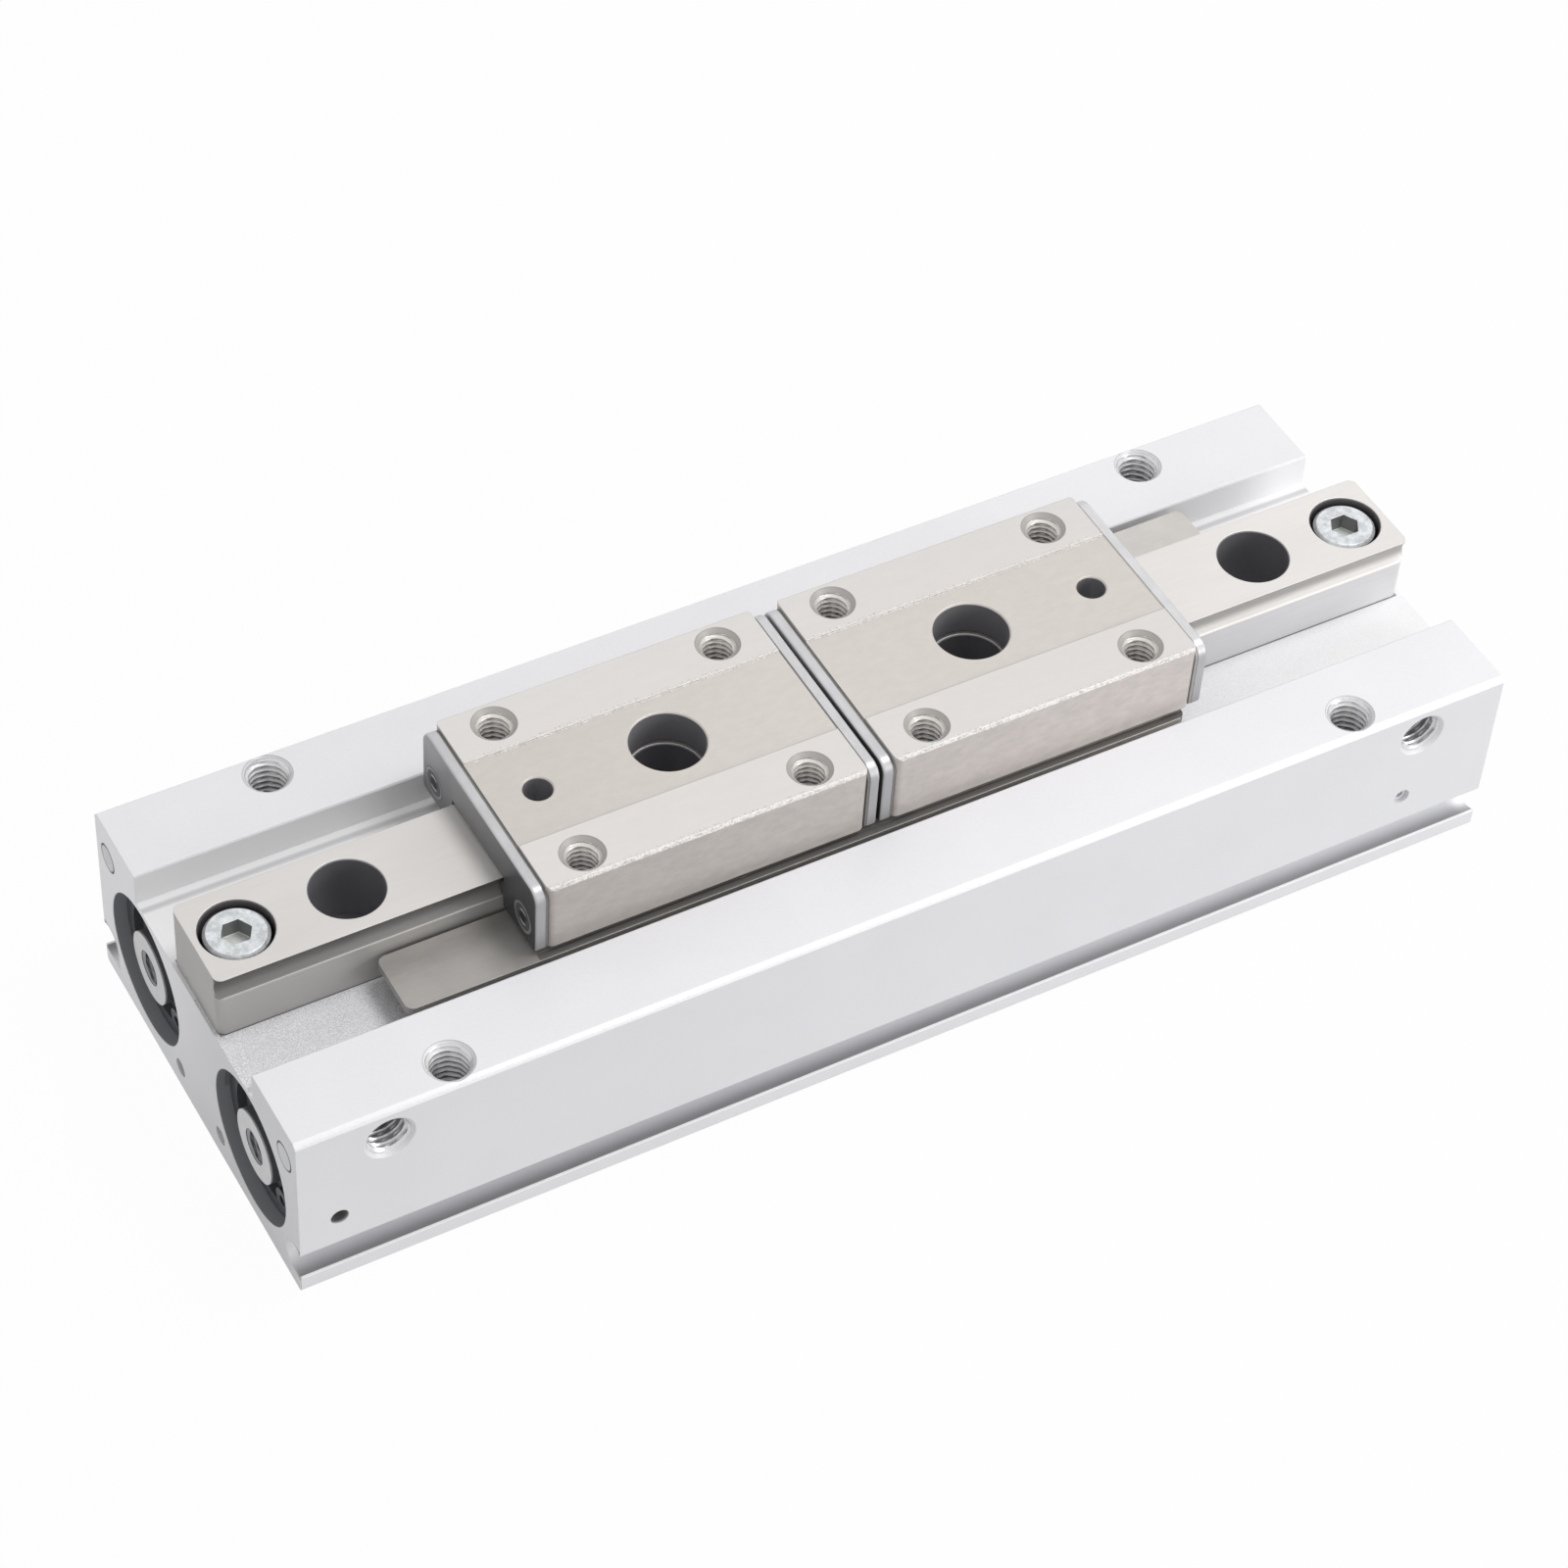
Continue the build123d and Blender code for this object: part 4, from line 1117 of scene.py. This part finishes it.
class MeshMaker:
    """Collects closed forms into one mesh object."""

    def __init__(self, name: str) -> None:
        """Starts an empty mesh.

        Args:
            name: Name of the piece.
        """
        self.name = name
        self.build = bmesh.new()

    def tube(self, rings: Sequence[Sequence[Vector]]) -> None:
        """Adds a closed ring-shaped solid, whose rings of points follow each other round its section.

        Args:
            rings: Rings of points, each with as many points as the others.
        """
        loops = [[self.build.verts.new(point) for point in ring] for ring in rings]
        count = len(loops[0])
        for this, after in zip(loops, loops[1:] + loops[:1]):
            for index in range(count):
                step = (index + 1) % count
                self.build.faces.new((this[index], this[step], after[step], after[index]))

    def piece(self, material: bpy.types.Material, body: Body, slot: str) -> None:
        """Finishes the mesh as a piece that rides on a body.

        Args:
            material: Its material.
            body: Body that it rides on.
            slot: Not used.
        """
        bmesh.ops.recalc_face_normals(self.build, faces=self.build.faces)
        mesh = bpy.data.meshes.new(self.name)
        self.build.to_mesh(mesh)
        self.build.free()
        mesh.shade_smooth()
        mesh.set_sharp_from_angle(angle=SHARP_ANGLE)
        mesh.materials.append(material)
        piece = bpy.data.objects.new(self.name, mesh)
        bpy.context.scene.collection.objects.link(piece)
        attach(piece, body.value)
        log.info("piece %s rides on %s", self.name, body.value)


def around_axis(radius: float, turn: float, height: float) -> Vector:
    """Point at a radius, a part of a full turn and a height."""
    return Vector((radius * cos(tau * turn), radius * sin(tau * turn), height))


def opening_at(place: Place, way: Way) -> Matrix:
    """Frame of a hole: its origin in the middle of its mouth, its Z axis pointing out."""
    turn = Vector((0, 0, 1)).rotation_difference(Vector(way.value))
    return Matrix.Translation(place) @ turn.to_matrix().to_4x4()


@dataclass(frozen=True)
class ThreadSize:
    """Coarse metric thread, with the depth and the flanks of its ridges in pitches."""

    radius: float
    pitch: float
    wall_gap: float = 0.01 * MM
    root_gap: float = 0.04 * MM
    columns: int = 44
    rows_per_turn: int = 10
    ridge_depth: float = 0.5413
    flank_start: float = 0.125
    flank_end: float = 0.4375

    @property
    def crest(self) -> float:
        """Radius of the inner tips of the ridges."""
        return self.radius - self.ridge_depth * self.pitch

    def ridge(self, height: float, turn: float) -> float:
        """Radius of the thread's surface.

        Args:
            height: Height along the hole.
            turn: Part of a full turn, from 0 to 1.

        Returns:
            The radius.
        """
        phase = (height / self.pitch - turn) % 1.0
        rise = (abs(phase - 0.5) - self.flank_start) / (self.flank_end - self.flank_start)
        root = self.radius - self.root_gap
        return self.crest + (root - self.crest) * min(1.0, max(0.0, rise))

    def cut(self, maker: MeshMaker, place: Matrix, mouth: float, depth: float) -> None:
        """Adds the threaded lining of one hole to a mesh.

        Args:
            maker: Mesh that takes it.
            place: Frame of the hole.
            mouth: Depth of the bevel at the hole's mouth, where the lining starts.
            depth: Depth of the hole.
        """
        rows = round((depth - mouth) / self.pitch * self.rows_per_turn)
        outer = self.radius - self.wall_gap
        turns = [column / self.columns for column in range(self.columns)]
        rings = [[around_axis(outer, turn, height) for turn in turns] for height in (-depth, -mouth)]
        for row in range(rows + 1):
            height = -mouth - (depth - mouth) * row / rows
            cone = min(self.radius + mouth + height, self.radius - self.root_gap)
            rings.append([around_axis(max(self.ridge(height, turn), cone), turn, height) for turn in turns])
        maker.tube([[place @ point for point in ring] for ring in rings])


M5 = ThreadSize(2.5 * MM, 0.8 * MM)
M4 = ThreadSize(2.0 * MM, 0.7 * MM)


@dataclass
class Threads:
    """Threaded linings of all the tapped holes."""

    plan: Plan
    body_depth: float = 6.5 * MM
    body_mouth: float = 0.2 * MM
    port_depth: float = 5.0 * MM
    port_mouth: float = 0.35 * MM
    finger_depth: float = 4.8 * MM
    finger_mouth: float = 0.45 * MM
    cap_depth: float = 6.0 * MM
    cap_mouth: float = 0.05 * MM
    cap_inset: float = 0.4 * MM
    painted_pale_edge: Colour = (0.76, 0.76, 0.77)
    # grey, warm_grey, shaded and black are painted shade deep inside the threads
    grey: Colour = (0.46, 0.46, 0.47)
    warm_pale: Colour = (0.74, 0.71, 0.68)
    warm_grey: Colour = (0.44, 0.42, 0.41)
    shaded: Colour = (0.30, 0.30, 0.31)
    black: Colour = (0.03, 0.03, 0.03)

    def build(self) -> None:
        """Makes the linings of the body, the ports, the caps and the fingers."""
        self.body_threads()
        self.ports()
        self.caps()
        metal = ThreadMetal("finger_thread_metal", self.warm_pale, self.warm_grey, "z",
                            self.plan.finger_top, 4.0 * MM).build()
        for finger in Finger:
            self.finger_threads(finger, metal)

    def body_threads(self) -> None:
        """Lines the four threads in the top of the body."""
        plan = self.plan
        maker = MeshMaker("body_thread_ridges")
        for end, side in CORNERS:
            place = (end * plan.body_thread_x, side * plan.body_thread_y, plan.body_top)
            M5.cut(maker, opening_at(place, Way.UP), self.body_mouth, self.body_depth)
        metal = ThreadMetal("body_thread_metal", self.painted_pale_edge, self.grey, "z", plan.body_top, 4.5 * MM)
        maker.piece(metal.build(), Body.BASE, "anodised_aluminium")

    def ports(self) -> None:
        """Lines the two air ports."""
        plan = self.plan
        maker = MeshMaker("port_thread_ridges")
        for end in (-1, 1):
            place = (end * plan.port_x, -plan.side_y, plan.port_z)
            M5.cut(maker, opening_at(place, Way.FRONT), self.port_mouth, self.port_depth)
        metal = ThreadMetal("port_thread_metal", self.painted_pale_edge, self.grey, "y", plan.side_y, 4.0 * MM)
        maker.piece(metal.build(), Body.BASE, "anodised_aluminium")

    def caps(self) -> None:
        """Lines the pull-out threads of the four bore caps."""
        plan = self.plan
        maker = MeshMaker("cap_thread_ridges")
        for end, side in CORNERS:
            place = (end * (plan.end_x - self.cap_inset), side * plan.bore_y, plan.bore_z)
            way = Way.RIGHT_END if end > 0 else Way.LEFT_END
            M4.cut(maker, opening_at(place, way), self.cap_mouth, self.cap_depth)
        metal = ThreadMetal("cap_thread_metal", self.shaded, self.black, "x", plan.end_x, 3.0 * MM)
        maker.piece(metal.build(), Body.BASE, "cap_aluminium")

    def finger_threads(self, finger: Finger, metal: bpy.types.Material) -> None:
        """Lines the four threads of one finger.

        Args:
            finger: Which finger.
            metal: Material of the ridges.
        """
        plan = self.plan
        maker = MeshMaker(f"{finger.side}_finger_thread_ridges")
        for end, side in CORNERS:
            x = finger.value * plan.finger_middle + end * plan.finger_thread_x
            place = (x, side * plan.finger_thread_y, plan.finger_top)
            M4.cut(maker, opening_at(place, Way.UP), self.finger_mouth, self.finger_depth)
        maker.piece(metal, finger.body, "ground_steel")


def dress(nodes: Iterable[str], finish: Finish) -> None:
    """Gives CAD nodes a finish.

    Args:
        nodes: Names of the nodes.
        finish: Their finish.
    """
    material = finish.build()
    for name in nodes:
        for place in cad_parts[name].material_slots:
            place.material = material
        log.info("node %s wears %s", name, material.name)


@dataclass
class FixedPieces:
    """Finishes of the pieces that stay with the body, and of the pinion."""

    plan: Plan

    def build(self) -> None:
        """Dresses the housing, the rail and everything fastened to them."""
        plan = self.plan
        even = (1, 1, 1)
        caps = [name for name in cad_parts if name.startswith("bore_cap_")]
        dress(["housing"], AnodisedBody(plan))
        dress(["guide_rail"], RailSteel(plan, "rail_steel", (0.68, 0.655, 0.635), (0.47, 0.455, 0.44)))
        dress(["rail_screws"],
              SocketZinc("bright_zinc", (0.64, 0.66, 0.675), 0.4, 0.32, 0.3 * MM, even, 0.12 * MM, plan))
        dress(["cross_passage_screw"],
              SatinSteel("set_screw_steel", (0.78, 0.78, 0.80), 0.4, 0.38, 0.2 * MM, even))
        dress(["retaining_rings"], BlackOxide())
        dress(caps, CapAluminium(plan))
        dress(["cap_o_rings", "cap_bumpers"], SoftCompound("black_rubber", (0.025, 0.025, 0.027)))
        dress(["passage_plugs"], PlugMetal(plan))
        dress(["pinion_pin", "pinion"], SatinSteel("gear_steel", (0.42, 0.42, 0.43)))


@dataclass
class FingerPieces:
    """Finishes of the pieces that move with the fingers."""

    plan: Plan

    def build(self) -> None:
        """Dresses both fingers alike."""
        plan = self.plan
        even = (1, 1, 1)
        finishes = {
            ("finger_block",): FingerSteel(plan, "finger_steel", (0.69, 0.668, 0.648), (0.53, 0.49, 0.462)),
            ("inner_end_plate", "outer_end_plate"): PlateSteel(plan),
            ("end_seals",): SoftCompound("seal_rubber", (0.20, 0.195, 0.19), painted_light_on_right=2.1),
            ("end_plate_screws",): PlateScrewSteel(plan),
            ("guide_balls",): SatinSteel("ball_steel", (0.74, 0.74, 0.75), 0.9, 0.15, 0.4 * MM, even),
            ("rack",): RackSteel("rack_steel", (0.44, 0.42, 0.40), plan=plan),
            ("rack_screws",): SatinSteel("screw_zinc", (0.72, 0.74, 0.77), 0.9, 0.28, 0.3 * MM, even),
            ("joint_pin",): SatinSteel("pin_steel", (0.45, 0.45, 0.46), 0.9, 0.28),
            ("piston",): SatinSteel("piston_aluminium", (0.66, 0.66, 0.68), 0.7, 0.34, 0.2 * MM, (1, 8, 8)),
            ("piston_seals",): SoftCompound("piston_rubber", (0.02, 0.02, 0.022)),
            ("wear_rings",): SoftCompound("wear_ring_plastic", (0.52, 0.38, 0.24), 0.5),
            ("magnet",): SoftCompound("magnet_compound", (0.07, 0.065, 0.06), 0.6),
        }
        for names, finish in finishes.items():
            dress([f"{finger.side}_{name}" for finger in Finger for name in names], finish)


@dataclass
class Studio:
    """Floor, soft light and the camera."""

    ambient: float = 0.50
    key_power: float = 2.9
    key_size: float = 0.36
    key_place: Place = (0.27, -0.05, 0.74)
    fill_power: float = 1.78
    fill_size: float = 0.40
    fill_place: Place = (0.46, -0.56, 0.16)
    floor_size: float = 6.0
    floor_colour: Colour = (0.70, 0.70, 0.705)
    floor_glow: float = 0.97
    camera_place: Place = (-0.1762, -0.27585, 0.3695)
    azimuth: float = -32.01
    elevation: float = 47.13
    roll: float = 4.22
    focal_length: float = 102.08
    sensor_width: float = 36.0

    def build(self) -> None:
        """Sets the stage round the gripper."""
        bpy.context.scene.view_settings.view_transform = "Standard"
        self.world()
        self.floor()
        self.lamp("key_lamp", self.key_place, self.key_size, self.key_power)
        self.lamp("fill_lamp", self.fill_place, self.fill_size, self.fill_power)
        self.camera()
        log.info("studio is set")

    def world(self) -> None:
        """White to look at, and a softer white as light."""
        world = bpy.data.worlds.new("studio_world")
        world.use_nodes = True
        tree = Tree(world.node_tree)
        background = world.node_tree.nodes["Background"]
        level = tree.node("MapRange", {"Value": tree.seen(), "To Min": self.ambient, "To Max": 1.0})
        tree.feed(background.inputs["Color"], (1.0, 1.0, 1.0))
        tree.feed(background.inputs["Strength"], level.outputs["Result"])
        bpy.context.scene.world = world

    def floor(self) -> None:
        """Pale floor that keeps the gripper's shadow."""
        half = self.floor_size / 2
        mesh = bpy.data.meshes.new("floor")
        corners = [(-half, -half, 0), (half, -half, 0), (half, half, 0), (-half, half, 0)]
        mesh.from_pydata(corners, [], [(0, 1, 2, 3)])
        mesh.materials.append(self.floor_paint())
        floor = bpy.data.objects.new("floor", mesh)
        bpy.context.scene.collection.objects.link(floor)

    def floor_paint(self) -> bpy.types.Material:
        """Matt paint that looks nearly white, and takes light and shadow as a paler grey.

        Returns:
            The material.
        """
        material = bpy.data.materials.new("floor_paint")
        material.use_nodes = True
        tree = Tree(material.node_tree)
        material.node_tree.nodes.clear()
        paint = tree.node("BsdfDiffuse", {"Color": self.floor_colour})
        glow = tree.node("Emission", {"Strength": 1.0})
        share = tree.both(tree.seen(), self.floor_glow)
        mixed = tree.node("MixShader", {0: share, 1: paint.outputs[0], 2: glow.outputs[0]})
        tree.node("OutputMaterial", {"Surface": mixed.outputs[0]})
        return material

    def lamp(self, name: str, place: Place, size: float, power: float) -> None:
        """Round soft lamp that shines on the gripper's middle.

        Args:
            name: Name of the lamp.
            place: Where it stands.
            size: Its diameter.
            power: Its power in watts.
        """
        lamp = bpy.data.lights.new(name, "AREA")
        lamp.shape = "DISK"
        lamp.size = size
        lamp.energy = power
        holder = bpy.data.objects.new(name, lamp)
        holder.location = place
        holder.rotation_euler = (-Vector(place)).to_track_quat("-Z", "Y").to_euler()
        bpy.context.scene.collection.objects.link(holder)

    def camera(self) -> None:
        """Camera at the photograph's place and angle."""
        camera = bpy.data.cameras.new("camera")
        camera.sensor_width = self.sensor_width
        camera.lens = self.focal_length
        camera.clip_start = 10 * MM
        holder = bpy.data.objects.new("camera", camera)
        turn = Matrix.Rotation(radians(self.azimuth), 4, "Z")
        tilt = Matrix.Rotation(pi / 2 - radians(self.elevation), 4, "X")
        roll = Matrix.Rotation(radians(self.roll), 4, "Z")
        holder.matrix_world = Matrix.Translation(self.camera_place) @ turn @ tilt @ roll
        bpy.context.scene.collection.objects.link(holder)
        bpy.context.scene.camera = holder


def main() -> None:
    """Builds the studio, then dresses the gripper piece by piece."""
    logging.basicConfig(level=logging.INFO, format="%(name)s: %(message)s")
    plan = Plan.from_frame()
    Studio().build()
    FixedPieces(plan).build()
    FingerPieces(plan).build()
    Threads(plan).build()


if __name__ == "__main__":
    main()
